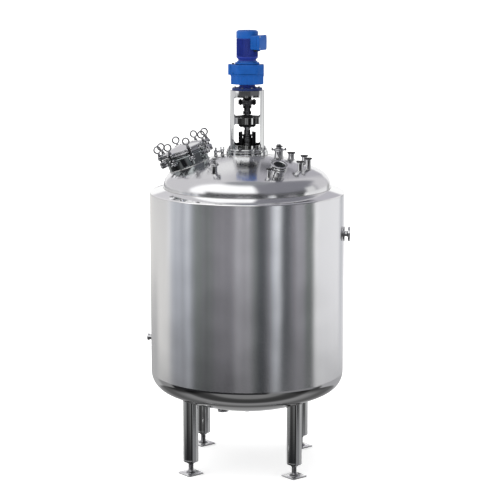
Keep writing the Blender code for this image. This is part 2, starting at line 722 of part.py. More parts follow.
def motor():
    """The motor with its lugs, its fan cowl and its terminal box."""
    low = CASE_TOP_Z + GAP
    bell = 0.064
    bell_top = 2.950
    body_low = 2.964
    lug_top = 2.930
    profile = [(0, low), (bell, low), (bell, bell_top), (MOTOR_R, body_low),
               (MOTOR_R, COWL_Z - GAP), (0, COWL_Z - GAP)]
    body = turned("motor_body", profile, blue("motor_body"), DRUM)
    shape(body, "UNION", plate_of("motor_lugs", chamfered(0.086, 0.086, 0.036), low, lug_top))
    chamfer = 0.014
    cowl_r = MOTOR_R + 0.001
    cowl = [(0, COWL_Z), (cowl_r, COWL_Z), (cowl_r, MOTOR_TOP_Z - chamfer),
            (MOTOR_R - chamfer, MOTOR_TOP_Z), (0, MOTOR_TOP_Z)]
    turned("fan_cowl", cowl, blue("fan_cowl"), DRUM)
    box_low = (0.050, -0.057, 3.018)
    box_high = (0.129, 0.057, 3.124)
    box = block("terminal_box", box_low, box_high, blue("terminal_box"))
    place(box, Matrix.Rotation(radians(-30), 4, "Z"))
    shape(box, "DIFFERENCE", rod("box_saddle", cowl_r + GAP, body_low, MOTOR_TOP_Z + THROUGH, DRUM))


clear_scene()
vessel()
jacket()
pipes()
drain()
legs()
manway()
nozzles()
sight_glass()
drive_support()
rotor()
bearings()
gearbox()
motor()
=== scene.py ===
from math import asin, atan2, cos, pi, radians, sin, sqrt, tan, tau

import bpy
from mathutils import Matrix, Vector


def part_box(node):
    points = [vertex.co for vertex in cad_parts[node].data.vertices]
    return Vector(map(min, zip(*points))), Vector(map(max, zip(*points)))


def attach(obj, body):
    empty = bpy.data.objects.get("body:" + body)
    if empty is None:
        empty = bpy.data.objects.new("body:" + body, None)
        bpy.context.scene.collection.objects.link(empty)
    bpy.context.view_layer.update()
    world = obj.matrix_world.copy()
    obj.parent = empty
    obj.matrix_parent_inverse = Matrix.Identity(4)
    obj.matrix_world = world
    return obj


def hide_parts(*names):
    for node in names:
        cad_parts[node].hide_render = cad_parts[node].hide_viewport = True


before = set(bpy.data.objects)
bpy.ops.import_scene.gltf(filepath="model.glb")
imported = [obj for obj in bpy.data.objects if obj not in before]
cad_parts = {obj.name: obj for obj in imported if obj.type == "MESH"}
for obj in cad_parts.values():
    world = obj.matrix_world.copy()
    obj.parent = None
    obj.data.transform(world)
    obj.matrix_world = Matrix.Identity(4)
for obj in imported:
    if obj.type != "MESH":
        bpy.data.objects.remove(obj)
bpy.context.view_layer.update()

# The camera stands above the motor's height and looks a little down, with a long lens, as
# a catalogue picture of a tall vessel is taken.
PICTURE = 500
FOCAL_PIXELS = 1662.17
CAMERA_BACK = 11.8447
CAMERA_HEIGHT = 3.7024
LOOK_DOWN = radians(10.179)
AXIS_PIXEL = 247.2
FARTHEST = 600
bpy.ops.object.camera_add(location=(0, -CAMERA_BACK, CAMERA_HEIGHT), rotation=(pi / 2 - LOOK_DOWN, 0, 0))
camera = bpy.context.object
camera.name = "camera"
camera.data.sensor_width = 36.0
camera.data.lens = FOCAL_PIXELS * camera.data.sensor_width / PICTURE
camera.data.shift_x = (PICTURE / 2 - AXIS_PIXEL) / PICTURE
camera.data.clip_end = FARTHEST
bpy.context.scene.camera = camera
bpy.context.scene.view_settings.view_transform = "Standard"

# The studio: a wide pale floor of white acrylic, lit a little from below, and all round
# the tank a light tent of white cloth with dark gaps, which the polished steel mirrors.
FLOOR_HALF = 220.0
FLOOR_GLOW = 0.34


def material(name, **settings):
    """A material and its shader, whose sockets are set by name."""
    made = bpy.data.materials.new(name)
    made.use_nodes = True
    shader = made.node_tree.nodes["Principled BSDF"]
    for key, value in settings.items():
        shader.inputs[key.replace("_", " ")].default_value = value
    return made, shader


def feed(tree, socket, value):
    """A socket takes a link or a plain value."""
    if isinstance(value, bpy.types.NodeSocket):
        tree.links.new(value, socket)
    else:
        socket.default_value = value


def node(tree, kind, **settings):
    """Adds one node. Each setting is one of its fields, or else what an input takes."""
    made = tree.nodes.new(kind)
    for key, value in settings.items():
        if key in made.bl_rna.properties:
            setattr(made, key, value)
        else:
            feed(tree, made.inputs[key.replace("_", " ")], value)
    return made


def maths(tree, operation, first, second=0.5, kind="ShaderNodeMath"):
    made = node(tree, kind, operation=operation)
    feed(tree, made.inputs[0], first)
    feed(tree, made.inputs[1], second)
    return made.outputs[0]


def times(tree, first, second):
    return maths(tree, "MULTIPLY", first, second)


def plus(tree, first, second):
    return maths(tree, "ADD", first, second)


def rgba(shade):
    """A grey or a colour, with full opacity."""
    return (*shade, 1) if isinstance(shade, tuple) else (shade, shade, shade, 1)


def ramp(tree, value, *stops):
    """A colour ramp of (position, grey or colour) stops on a value."""
    made = node(tree, "ShaderNodeValToRGB", Fac=value)
    elements = made.color_ramp.elements
    while len(elements) < len(stops):
        elements.new(0.5)
    for element, (position, shade) in zip(elements, stops):
        element.position = position
        element.color = rgba(shade)
    return made.outputs["Color"]


def mixed(tree, share, first, second, blend="MIX"):
    """A blend of two colours."""
    made = node(tree, "ShaderNodeMix", data_type="RGBA", blend_type=blend)
    for slot, value in ((0, share), (6, first), (7, second)):
        feed(tree, made.inputs[slot], value)
    return made.outputs[2]


def hang(tree, under, *panels):
    """Hangs soft-edged panels in the tent, each over the last: (shade, from, to, low, high,
    soft sides, soft rims). from and to are shares of the way round, which goes from behind
    the tank by its left, and the heights are sines."""
    for shade, start, end, low, high, side_soft, rim_soft in panels:
        mask = 1.0
        for way, edge, fade in ((share_round, start, side_soft), (share_round, end, -side_soft),
                                (z_way, low, rim_soft), (z_way, high, -rim_soft)):
            ease = node(tree, "ShaderNodeMapRange", interpolation_type="SMOOTHSTEP", Value=way,
                        From_Min=edge - fade, From_Max=edge + fade)
            mask = times(tree, mask, ease.outputs["Result"])
        under = mixed(tree, mask, under, rgba(shade))
    return under


bpy.ops.mesh.primitive_plane_add(size=2 * FLOOR_HALF, location=(0, 0, 0))
floor = bpy.context.object
floor.name = "floor"
floor.visible_glossy = False
floor.data.materials.append(material(
    "floor_paint", Base_Color=rgba(0.93), Roughness=0.9, Specular_IOR_Level=0.1,
    Emission_Color=rgba(1), Emission_Strength=FLOOR_GLOW)[0])

tent = bpy.data.worlds.new("light_tent")
bpy.context.scene.world = tent
tent.use_nodes = True
tree = tent.node_tree
looking = node(tree, "ShaderNodeSeparateXYZ", Vector=node(tree, "ShaderNodeTexCoord").outputs["Generated"])
x_way, y_way, z_way = looking.outputs
round_about = maths(tree, "ARCTAN2", x_way, times(tree, y_way, -1.0))
share_round = plus(tree, maths(tree, "DIVIDE", round_about, tau), 0.5)
x_share, y_share, height_share = [plus(tree, times(tree, way, 0.5), 0.5) for way in (x_way, y_way, z_way)]

# The low part of the tent is what the jacket mirrors: cloth at the back and the sides, and
# in front hangings of several greys, which darken towards the floor and have fine folds.
CLOTH = (0.80, 0.80, 0.80)
RIGHT_CLOTH = (0.92, 0.92, 0.93)
RIGHT_FOLD = (0.62, 0.63, 0.66)
LEFT_CLOTH = (0.82, 0.81, 0.785)
COOL_CLOTH = (0.46, 0.48, 0.52)
PALE = (0.57, 0.59, 0.62)
GAP_DARK = (0.165, 0.182, 0.175)
DEEP_DARK = (0.085, 0.092, 0.100)
DUSK = (0.24, 0.235, 0.255)
EVENING = (0.39, 0.385, 0.41)
NIGHTFALL = (0.33, 0.325, 0.35)
bands = ramp(
    tree, share_round, (0.195, CLOTH), (0.235, COOL_CLOTH), (0.308, COOL_CLOTH), (0.328, GAP_DARK),
    (0.345, GAP_DARK), (0.355, DUSK), (0.365, GAP_DARK), (0.400, DUSK), (0.450, DUSK), (0.470, EVENING),
    (0.505, EVENING), (0.528, GAP_DARK), (0.535, DEEP_DARK), (0.556, DEEP_DARK), (0.570, DUSK),
    (0.582, COOL_CLOTH), (0.604, PALE), (0.618, DEEP_DARK), (0.636, DEEP_DARK), (0.655, DUSK),
    (0.672, NIGHTFALL), (0.694, NIGHTFALL), (0.704, GAP_DARK), (0.725, GAP_DARK), (0.745, CLOTH))
folds = node(tree, "ShaderNodeTexNoise", noise_dimensions="1D", W=share_round, Scale=46.0, Detail=2.0)
fold_shade = plus(tree, times(tree, folds.outputs["Fac"], 1.3), 0.85)
side_fade = ramp(tree, height_share, (0.0, 0.20), (0.362, 0.23), (0.378, 0.36), (0.398, 0.64), (0.422, 1.0))
front_fade = ramp(tree, height_share, (0.362, 0.20), (0.375, 0.29), (0.3875, 0.415), (0.3985, 0.64),
                  (0.410, 0.95), (0.4225, 1.33), (0.430, 1.33), (0.438, 1.0))
in_front = ramp(tree, share_round, (0.300, 0.0), (0.325, 1.0), (0.700, 1.0), (0.740, 0.0))
fade_below = mixed(tree, in_front, side_fade, front_fade)
low_round = maths(tree, "MULTIPLY", bands, times(tree, fade_below, fold_shade), "ShaderNodeVectorMath")
low_round = hang(tree, low_round, (LEFT_CLOTH, -0.1, 0.205, -0.248, 0.1, 0.016, 0.006),
                 (RIGHT_CLOTH, 0.752, 1.1, -0.235, 0.1, 0.012, 0.05),
                 (RIGHT_FOLD, 0.890, 0.935, -0.235, 0.1, 0.012, 0.05))
crisp = ramp(tree, low_round, (0.0, 0.0), (0.24, 0.01), (0.36, 0.04), (0.55, 0.12), (0.72, 0.75), (1.0, 1.0))
crisp = hang(tree, crisp, ((0.30, 0.30, 0.32), -0.1, 0.30, -0.121, -0.06, 0.03, 0.004))
low_round = mixed(tree, ramp(tree, height_share, (0.429, 0.0), (0.436, 1.0)), low_round, crisp)
stark = ramp(tree, low_round, (0.0, 0.0), (0.05, 0.02), (0.10, 0.11), (0.18, 0.24), (0.30, 0.55), (0.5, 0.8))
low_round = mixed(tree, ramp(tree, height_share, (0.368, 1.0), (0.374, 0.0)), low_round, stark)

# The high part is what the head mirrors: a great soft box in front, between darker sides,
# and pale cloth with a few gaps behind.
LEFT_SKY = (0.68, 0.67, 0.69)
RIGHT_SKY = (0.24, 0.24, 0.27)
BACK_SKY = (0.47, 0.46, 0.50)
SOFT_BOX = (1.30, 1.30, 1.30)
TOP_SKY = (0.30, 0.31, 0.33)
FRONT_DARK = (0.07, 0.07, 0.075)
SIDE_DARK = (0.13, 0.13, 0.14)
BACK_GAP = (0.16, 0.16, 0.17)
HIGH_GAP = (0.10, 0.10, 0.115)
upper = ramp(tree, share_round, (0.0, BACK_SKY), (0.045, LEFT_SKY), (0.300, LEFT_SKY), (0.580, RIGHT_SKY),
             (0.780, RIGHT_SKY), (0.830, LEFT_SKY), (0.900, LEFT_SKY), (0.950, BACK_SKY))
upper = hang(
    tree, upper,
    (RIGHT_SKY, 0.54, 0.86, 0.50, 1.2, 0.02, 0.08), (TOP_SKY, -0.1, 1.1, 0.955, 1.2, 0.01, 0.02),
    (SOFT_BOX, 0.262, 0.537, 0.22, 0.93, 0.016, 0.05), (SOFT_BOX, 0.262, 0.400, 0.05, 0.40, 0.016, 0.04),
    (1.0, -0.1, 0.075, -0.1, 0.26, 0.012, 0.03), (1.0, 0.925, 1.1, -0.1, 0.26, 0.012, 0.03),
    (BACK_GAP, -0.1, 0.008, 0.085, 0.128, 0.003, 0.006), (BACK_GAP, 0.992, 1.1, 0.085, 0.128, 0.003, 0.006),
    (0.90, -0.1, 0.045, 0.48, 0.76, 0.008, 0.03), (0.90, 0.985, 1.1, 0.48, 0.76, 0.008, 0.03),
    (HIGH_GAP, 0.955, 0.992, 0.52, 0.74, 0.006, 0.03))
seen_round = mixed(tree, ramp(tree, height_share, (0.478, 0.0), (0.520, 1.0)), low_round, upper)
seen_round = hang(tree, seen_round, (SIDE_DARK, 0.54, 0.745, -0.03, 0.225, 0.015, 0.03),
                  (FRONT_DARK, 0.335, 0.56, -0.03, 0.285, 0.015, 0.03),
                  (CLOTH, 0.750, 0.80, 0.0, 0.37, 0.012, 0.04))

# What lies below is mirrored by the dished bottom: the floor's greys, and the dark and
# pale feet of the hangings.
under = ramp(
    tree, y_share, (0.00, 0.19), (0.11, 0.22), (0.17, 0.19), (0.21, 0.08), (0.27, 0.05), (0.38, 0.05),
    (0.44, 0.12), (0.48, 0.26), (0.55, 0.26), (0.62, 0.20), (0.70, 0.12), (0.80, 0.12), (0.90, 0.25),
    (1.00, 0.40))
side_shade = ramp(tree, x_share, (0.08, 0.12), (0.14, 0.9), (0.30, 1.0), (0.86, 1.0), (0.93, 0.25))
under = maths(tree, "MULTIPLY", under, side_shade, "ShaderNodeVectorMath")
seen_round = mixed(tree, ramp(tree, height_share, (0.325, 1.0), (0.348, 0.0)), seen_round, under)
seen_round = hang(tree, seen_round, ((0.02, 0.02, 0.022), 0.13, 0.570, -0.42, -0.29, 0.012, 0.012),
                  ((0.24, 0.24, 0.25), 0.585, 0.745, -0.40, -0.275, 0.012, 0.012),
                  (0.27, -0.1, 0.215, -0.44, -0.262, 0.012, 0.02),
                  (0.46, -0.1, 0.13, -0.44, -0.20, 0.02, 0.03),
                  ((0.42, 0.42, 0.43), 0.785, 1.1, -0.45, -0.255, 0.012, 0.02))

# The backdrop itself is plain white. The lamps behind the cloth stand more to the left,
# so that what doesn't mirror the tent is shaded towards the right.
DAYLIGHT = 1.35
LEFT_BIAS = 0.45
path = node(tree, "ShaderNodeLightPath").outputs
from_side = maths(tree, "SUBTRACT", 1.0, times(tree, x_way, LEFT_BIAS))
lamp_light = times(tree, maths(tree, "MAXIMUM", from_side, path["Is Camera Ray"]), DAYLIGHT)
white = node(tree, "ShaderNodeBackground", Color=rgba(1), Strength=lamp_light)
mirrored = node(tree, "ShaderNodeBackground", Color=seen_round, Strength=1.0)
cast = node(tree, "ShaderNodeMixShader", Fac=path["Is Glossy Ray"])
feed(tree, cast.inputs[1], white.outputs[0])
feed(tree, cast.inputs[2], mirrored.outputs[0])
feed(tree, tree.nodes["World Output"].inputs["Surface"], cast.outputs[0])

# The jacket: a round shell of ground stainless sheet, rolled, welded and dressed flush. It
# hides the insulation and the heating channels round the vessel.
jacket_low, jacket_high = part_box("jacket_shell")
JACKET_R = jacket_high.x
SHEET = 0.006
ROUND = 192
MERGE = 0.00001


def pick(*pieces):
    """Only these pieces are selected, the first of them active."""
    bpy.ops.object.select_all(action="DESELECT")
    for piece in pieces:
        piece.select_set(True)
    bpy.context.view_layer.objects.active = pieces[0]


def coat(piece, finish):
    piece.data.materials.clear()
    piece.data.materials.append(finish)
    return piece


def smooth_over(piece):
    pick(piece)
    bpy.ops.object.shade_smooth_by_angle(angle=radians(30))
    return piece


def draw(name, points):
    """A vertex is drawn from point to point. The wire stays selected, in edit mode."""
    bpy.ops.object.select_all(action="DESELECT")
    bpy.ops.mesh.primitive_plane_add(size=0.001, location=points[0])
    bpy.context.object.name = name
    bpy.ops.object.transform_apply(location=True, rotation=False, scale=False)
    bpy.ops.object.mode_set(mode="EDIT")
    bpy.ops.mesh.select_mode(type="VERT")
    bpy.ops.mesh.select_all(action="SELECT")
    bpy.ops.mesh.merge(type="CENTER")
    for here, there in zip(points, points[1:]):
        step = tuple(b - a for a, b in zip(here, there))
        bpy.ops.mesh.extrude_vertices_move(TRANSFORM_OT_translate={"value": step})
    bpy.ops.mesh.select_all(action="SELECT")
    return bpy.context.object


def close_up():
    """The last step of drawing: one skin, faced outwards."""
    bpy.ops.mesh.select_all(action="SELECT")
    bpy.ops.mesh.remove_doubles(threshold=MERGE)
    bpy.ops.mesh.normals_make_consistent(inside=False)
    bpy.ops.object.mode_set(mode="OBJECT")


def turn(name, outline, finish, steps=48):
    """A lathe: an outline of (radius, height) is spun round Z. One that keeps off the axis
    is closed on itself."""
    closing = outline[:1] if outline[0][0] > 0 else []
    made = draw(name, [(r, 0, z) for r, z in outline + closing])
    bpy.ops.mesh.spin(steps=steps, angle=tau, center=(0, 0, 0), axis=(0, 0, 1))
    close_up()
    return coat(smooth_over(made), finish)


def fit(piece, slot, *nodes, body="tank"):
    """The finished piece rides on its body and stands for the solids of the frame."""
    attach(piece, body)
    if nodes:
        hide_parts(*nodes)


def between(start, end, count):
    """Evenly spaced numbers, both ends among them."""
    return [start + (end - start) * k / (count - 1) for k in range(count)]


def noise(tree, spot, scale, detail, rough=0.5):
    """Cloudy noise, from 0 to 1."""
    made = node(tree, "ShaderNodeTexNoise", Vector=spot, Scale=scale, Detail=detail, Roughness=rough)
    return made.outputs["Fac"]


def add_socket(group, way, kind, name, value=None):
    """Adds one input or output to a node group."""
    made = group.interface.new_socket(name=name, in_out=way, socket_type="NodeSocket" + kind)
    if value is not None:
        made.default_value = value


def polishing_marks():
    """Steel as it comes from the polishing shop: hazy patches, and fine scratches along the
    grain, which runs round the axis or up it."""
    group = bpy.data.node_groups.new("polishing_marks", "ShaderNodeTree")
    add_socket(group, "INPUT", "Vector", "Along")
    for name, value in (("Base Roughness", 0.1), ("Haze", 0.05), ("Grain", 0.05)):
        add_socket(group, "INPUT", "Float", name, value)
    for name in ("Roughness", "Shade", "Height"):
        add_socket(group, "OUTPUT", "Float", name)
    given = group.nodes.new("NodeGroupInput").outputs
    coords = node(group, "ShaderNodeTexCoord").outputs["Object"]
    patch = maths(group, "SUBTRACT", noise(group, coords, 3.1, 5.0, 0.55), 0.5)
    line = maths(group, "SUBTRACT", noise(group, given["Along"], 1.0, 3.0, 0.6), 0.5)
    grain = times(group, line, given["Grain"])
    rough = plus(group, plus(group, given["Base Roughness"], times(group, patch, given["Haze"])), grain)
    node(group, "NodeGroupOutput", Roughness=maths(group, "MAXIMUM", rough, 0.02),
         Shade=plus(group, 1.0, grain), Height=line)
    return group


POLISHING = polishing_marks()


def bumped(tree, height, strength, depth, **under):
    """A surface normal, raised and lowered by a height."""
    bump = node(tree, "ShaderNodeBump", Height=height, Strength=strength, Distance=depth, **under)
    return bump.outputs["Normal"]


def steel(name, colour, rough, haze, grain, grain_way, wave=0.0, scratch_depth=0.00002):
    """One steel finish. grain_way scales the grain (round the axis, up, outwards), and wave
    is the depth of the sheet's slow waviness."""
    made, shader = material(name, Metallic=1.0)
    tree = made.node_tree
    coords = node(tree, "ShaderNodeTexCoord").outputs["Object"]
    x_at, y_at, z_at = node(tree, "ShaderNodeSeparateXYZ", Vector=coords).outputs
    out = maths(tree, "SQRT", plus(tree, times(tree, x_at, x_at), times(tree, y_at, y_at)))
    around = maths(tree, "ARCTAN2", y_at, x_at)
    along = node(tree, "ShaderNodeCombineXYZ")
    for socket, value, scale in zip(along.inputs, (around, z_at, out), grain_way):
        feed(tree, socket, times(tree, value, scale))
    marks = node(tree, "ShaderNodeGroup", node_tree=POLISHING)
    for key, value in (("Along", along.outputs[0]), ("Base Roughness", rough), ("Haze", haze),
                       ("Grain", grain)):
        feed(tree, marks.inputs[key], value)
    normal = bumped(tree, marks.outputs["Height"], 1.0, scratch_depth)
    if wave:
        normal = bumped(tree, noise(tree, coords, 2.3, 1.0), 1.0, wave, Normal=normal)
    tinted = mixed(tree, 1.0, rgba(colour), marks.outputs["Shade"], "MULTIPLY")
    for key, value in (("Base Color", tinted), ("Roughness", marks.outputs["Roughness"]),
                       ("Normal", normal)):
        feed(tree, shader.inputs[key], value)
    return made


ground_sheet = steel("ground_sheet", (0.80, 0.80, 0.815), 0.17, 0.06, 0.10, (6.0, 520.0, 40.0), 0.004)
wall = [(JACKET_R, z) for z in between(jacket_low.z, jacket_high.z, 25)]
jacket = turn("jacket_sheet", wall + [(JACKET_R - SHEET, jacket_high.z), (JACKET_R - SHEET, jacket_low.z)],
              ground_sheet, ROUND)
fit(jacket, "satin_steel", "jacket_shell")

# The head and the jacket's shoulder and bottom: dished ends, pressed from plate, the
# head and the bottom with a wide crown and a tight knuckle, all polished to a mirror.
head_low, head_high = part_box("vessel_head")
VESSEL_R = head_high.x
STRAIGHT = 0.010
PAD_NECK_R = 0.100
BOTTOM_PIPE_R = 0.0255
CLEAR = 0.0003
FINE_SCRATCH = 0.000004


class Dish:
    """A dished end. The crown's radius is twice the wall's and the knuckle's a fifth of it."""

    def __init__(self, wall_r, seam, side):
        self.wall_r, self.seam, self.side = wall_r, seam, side
        self.crown = 2.0 * wall_r
        self.knuckle = 0.2 * wall_r
        self.bend_r = wall_r - self.knuckle
        reach = self.crown - self.knuckle
        self.centre = seam - side * sqrt(reach ** 2 - self.bend_r ** 2)
        self.join = asin(self.bend_r / reach)

    def curve(self, inset, hole_r, crown_rings, knuckle_rings):
        """Points (radius, height) from the hole out to the seam."""
        crown = self.crown - inset
        knuckle = self.knuckle - inset
        turns = between(asin(hole_r / crown), self.join, crown_rings)
        bends = between(self.join, pi / 2, knuckle_rings)[1:]
        return ([(crown * sin(t), self.centre + self.side * crown * cos(t)) for t in turns]
                + [(self.bend_r + knuckle * sin(t), self.seam + self.side * knuckle * cos(t))
                   for t in bends])

    def height(self, x, y):
        """The outer face's height over a point."""
        r = sqrt(x * x + y * y)
        if r <= self.crown * sin(self.join):
            return self.centre + self.side * sqrt(self.crown ** 2 - r * r)
        bend = min(r, self.wall_r) - self.bend_r
        return self.seam + self.side * sqrt(max(0.0, self.knuckle ** 2 - bend * bend))

    def plate(self, name, finish, hole_r, crown_rings, *edge):
        """The whole end, with its edge drawn from the outer face to the inner."""
        outer = self.curve(0, hole_r, crown_rings, 26)
        return turn(name, outer + list(edge) + self.curve(SHEET, hole_r, 12, 8)[::-1], finish, ROUND)


def mirror(name, grey, rough, grain_way, bluer=0.0):
    """Plate polished to a mirror, with a slow wave in it."""
    return steel(name, (grey, grey, grey + bluer), rough, 0.05, 0.03, grain_way, 0.003, FINE_SCRATCH)


HEAD = Dish(VESSEL_R, head_low.z + STRAIGHT, 1)
BOTTOM = Dish(JACKET_R, jacket_low.z - CLEAR, -1)
mirror_plate = mirror("mirror_plate", 0.80, 0.05, (30.0, 30.0, 260.0), 0.01)
head_steel = mirror("head_steel", 0.80, 0.16, (6.0, 30.0, 260.0), 0.01)
head_shader = head_steel.node_tree.nodes["Principled BSDF"]
head_shader.inputs["Anisotropic"].default_value = 0.9
head_shader.inputs["Anisotropic Rotation"].default_value = 0.25
round_axis = node(head_steel.node_tree, "ShaderNodeTangent", direction_type="RADIAL", axis="Z")
feed(head_steel.node_tree, head_shader.inputs["Tangent"], round_axis.outputs[0])
head = HEAD.plate("head_plate", head_steel, PAD_NECK_R, 40, (VESSEL_R, head_low.z),
                  (VESSEL_R - SHEET, head_low.z))
fit(head, "polished_steel", "vessel_head")

CORNER = 0.010
SLOPE = radians(74)
slope_end = VESSEL_R + CLEAR
shoulder_top = head_low.z - 0.001
slope_rise = (JACKET_R - CORNER + CORNER * cos(SLOPE) - slope_end) / tan(SLOPE)
corner_z = shoulder_top - slope_rise - CORNER * sin(SLOPE)
corner_turns = between(0, SLOPE, 14)
outer_slope, inner_slope = [
    [(JACKET_R - CORNER + radius * cos(t), corner_z + radius * sin(t)) for t in corner_turns]
    + [(slope_end, shoulder_top + radius - CORNER)] for radius in (CORNER, CORNER - SHEET)]
shoulder = turn("shoulder_plate", outer_slope + inner_slope[::-1],
                mirror("shoulder_steel", 0.97, 0.07, (30.0, 30.0, 260.0)), ROUND)
fit(shoulder, "polished_steel", "jacket_shoulder")
bottom = BOTTOM.plate("bottom_plate", mirror_plate, BOTTOM_PIPE_R, 36)
fit(bottom, "polished_steel", "jacket_bottom")

# The welds between the plates were run with an even bead and only brushed, so that each
# shows as a thin, rippled and duller line round the tank.
weld_metal = steel("weld_metal", (0.62, 0.61, 0.60), 0.24, 0.10, 0.10, (900.0, 60.0, 60.0), 0, 0.0004)
BEAD = 0.0022


def at(x, y, z):
    return Matrix.Translation((x, y, z))


def rolled(angle, axis):
    return Matrix.Rotation(angle, 4, axis)


def upright(x, y, z=0.0, heading=0.0):
    return at(x, y, z) @ rolled(heading, "Z")


def place(piece, spot):
    """The piece goes to its place, which is kept in its mesh."""
    pick(piece)
    piece.matrix_world = spot
    bpy.ops.object.transform_apply(location=True, rotation=True, scale=True)
    return piece


def joined(name, *pieces):
    pick(*pieces)
    bpy.ops.object.join()
    pieces[0].name = name
    return pieces[0]


def hoop(ring_r, thick, finish, steps=96, sides=8):
    """A round bar bent to a ring."""
    bpy.ops.object.select_all(action="DESELECT")
    bpy.ops.mesh.primitive_torus_add(major_radius=ring_r, minor_radius=thick, major_segments=steps,
                                     minor_segments=sides)
    bpy.ops.object.shade_smooth()
    return coat(bpy.context.object, finish)


def bead(ring_r, thick, spot=Matrix(), lies_on=None, steps=96):
    """A weld bead, draped over a dished end where one is named."""
    made = place(hoop(ring_r, thick, weld_metal, steps), spot)
    if lies_on:
        for point in made.data.vertices:
            point.co.z += lies_on.height(point.co.x, point.co.y)
    return made


seams = [bead(ring_r, BEAD, at(0, 0, z), steps=ROUND)
         for ring_r, z in ((JACKET_R - BEAD - CLEAR, jacket_low.z), (JACKET_R - BEAD - CLEAR, jacket_high.z),
                           (VESSEL_R + BEAD / 2, shoulder_top))]
fit(joined("seam_welds", *seams), "satin_steel")

# The legs: four stainless tubes, cut to the bottom's curve and welded to it. A thick
# plate closes each one below and is tapped for a levelling foot.
LEG_R = 0.054
LEG_WALL = 0.004
LEG_PLATE = 0.012
SCREW_R = 0.018
GROOVE = 0.001
LEG_NAMES = ("leg_1", "leg_2", "leg_3", "leg_4")


def copy_of(piece):
    """A copy with a mesh of its own."""
    pick(piece)
    bpy.ops.object.duplicate(linked=False)
    return bpy.context.object


def stands_at(node_name):
    """The upright through the middle of a node, turned to face away from the tank's axis."""
    low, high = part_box(node_name)
    x, y = (low.x + high.x) / 2, (low.y + high.y) / 2
    return upright(x, y, 0, atan2(y, x))


mirror_tube = steel("mirror_tube", (0.76, 0.77, 0.77), 0.05, 0.05, 0.04, (40, 300, 40), 0.001)
leg_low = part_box(LEG_NAMES[0])[0].z
plate_top = leg_low + LEG_PLATE
leg_outline = [(SCREW_R + CLEAR, leg_low), (LEG_R - GROOVE, leg_low), (LEG_R, leg_low + GROOVE),
               (LEG_R, plate_top - GROOVE), (LEG_R - GROOVE, plate_top), (LEG_R, plate_top + GROOVE),
               (LEG_R, jacket_low.z), (LEG_R - LEG_WALL, jacket_low.z), (LEG_R - LEG_WALL, plate_top),
               (SCREW_R + CLEAR, plate_top)]
leg_pattern = turn("leg_tube", leg_outline, mirror_tube, 64)
for number, leg_name in enumerate(LEG_NAMES, 1):
    spot = stands_at(leg_name)
    leg = place(copy_of(leg_pattern), spot)
    for point in leg.data.vertices:
        if point.co.z > jacket_low.z - GROOVE:
            point.co.z = BOTTOM.height(point.co.x, point.co.y) - CLEAR
    leg = joined("leg_tube_" + str(number), leg, bead(LEG_R, 2 * BEAD, spot, BOTTOM))
    fit(leg, "polished_steel", leg_name)
bpy.data.objects.remove(leg_pattern)

# The levelling feet: a forged square plate with a socket, in which the ball end of a
# coarse threaded spindle turns, and a nut that locks the spindle under the leg.
FOOT_HALF = 0.067
FOOT_THICK = 0.010
FOOT_CORNER = 0.009
THREAD_DEPTH = 0.0014
THREAD_PITCH = 0.0032
THREAD_START = 0.028
SPINDLE_INSIDE = 0.040
NUT_THICK = 0.014
NUT_ACROSS = 0.0465


def soft(outline, radius, steps=3):
    """The same outline with its corners rounded, apart from those on the axis."""
    smooth = []
    for k, (r, z) in enumerate(outline):
        corner = Vector((r, z))
        before = Vector(outline[k - 1]) - corner
        after = Vector(outline[(k + 1) % len(outline)]) - corner
        if abs(r) < MERGE or min(before.length, after.length) < MERGE:
            smooth.append((r, z))
            continue
        start = corner + before * min(0.45, radius / before.length)
        end = corner + after * min(0.45, radius / after.length)
        for share in between(0, 1, steps + 1):
            smooth.append(tuple(start.lerp(corner, share).lerp(corner.lerp(end, share), share)))
    return smooth


def apply(piece, kind, **settings):
    """Adds one modifier and applies it."""
    pick(piece)
    step = piece.modifiers.new(kind.lower(), kind)
    for key, value in settings.items():
        setattr(step, key, value)
    bpy.ops.object.modifier_apply(modifier=step.name)


def bevel(piece, width, steps=2):
    apply(piece, "BEVEL", width=width, segments=steps, limit_method="ANGLE", angle_limit=radians(50))


def slab(name, corners, low, high, edge, finish, steps=2):
    """A flat outline drawn point by point, filled, raised, and its edges rounded."""
    made = draw(name, [(x, y, low) for x, y in corners + corners[:1]])
    bpy.ops.mesh.remove_doubles(threshold=MERGE)
    bpy.ops.mesh.edge_face_add()
    bpy.ops.mesh.extrude_region_move(TRANSFORM_OT_translate={"value": (0, 0, high - low)})
    close_up()
    if edge:
        bevel(made, edge, steps)
    return coat(smooth_over(made), finish)


def frame_of(half_x, half_y):
    return [(half_x, -half_y), (half_x, half_y), (-half_x, half_y), (-half_x, -half_y)]


def cylinder(radius, low, high, steps):
    bpy.ops.object.select_all(action="DESELECT")
    bpy.ops.mesh.primitive_cylinder_add(vertices=steps, radius=radius, depth=high - low,
                                        location=(0, 0, (low + high) / 2))
    bpy.ops.object.transform_apply(location=True, rotation=False, scale=False)
    return bpy.context.object


def hexagon(across, low, high, finish):
    """A hexagon head or nut: a six-sided drum whose top face is inset and lifted. The first
    one after a drawn piece is only swelled, as points are then what is selected."""
    chamfer = 0.08 * across
    made = cylinder(across / sqrt(3), low, high - chamfer / 2, 6)
    for face in made.data.polygons:
        face.select = face.normal.z > 0.9
    bpy.ops.object.mode_set(mode="EDIT")
    bpy.ops.mesh.select_mode(type="FACE")
    bpy.ops.mesh.inset(thickness=chamfer, depth=chamfer / 2)
    bpy.ops.object.mode_set(mode="OBJECT")
    return coat(smooth_over(made), finish)


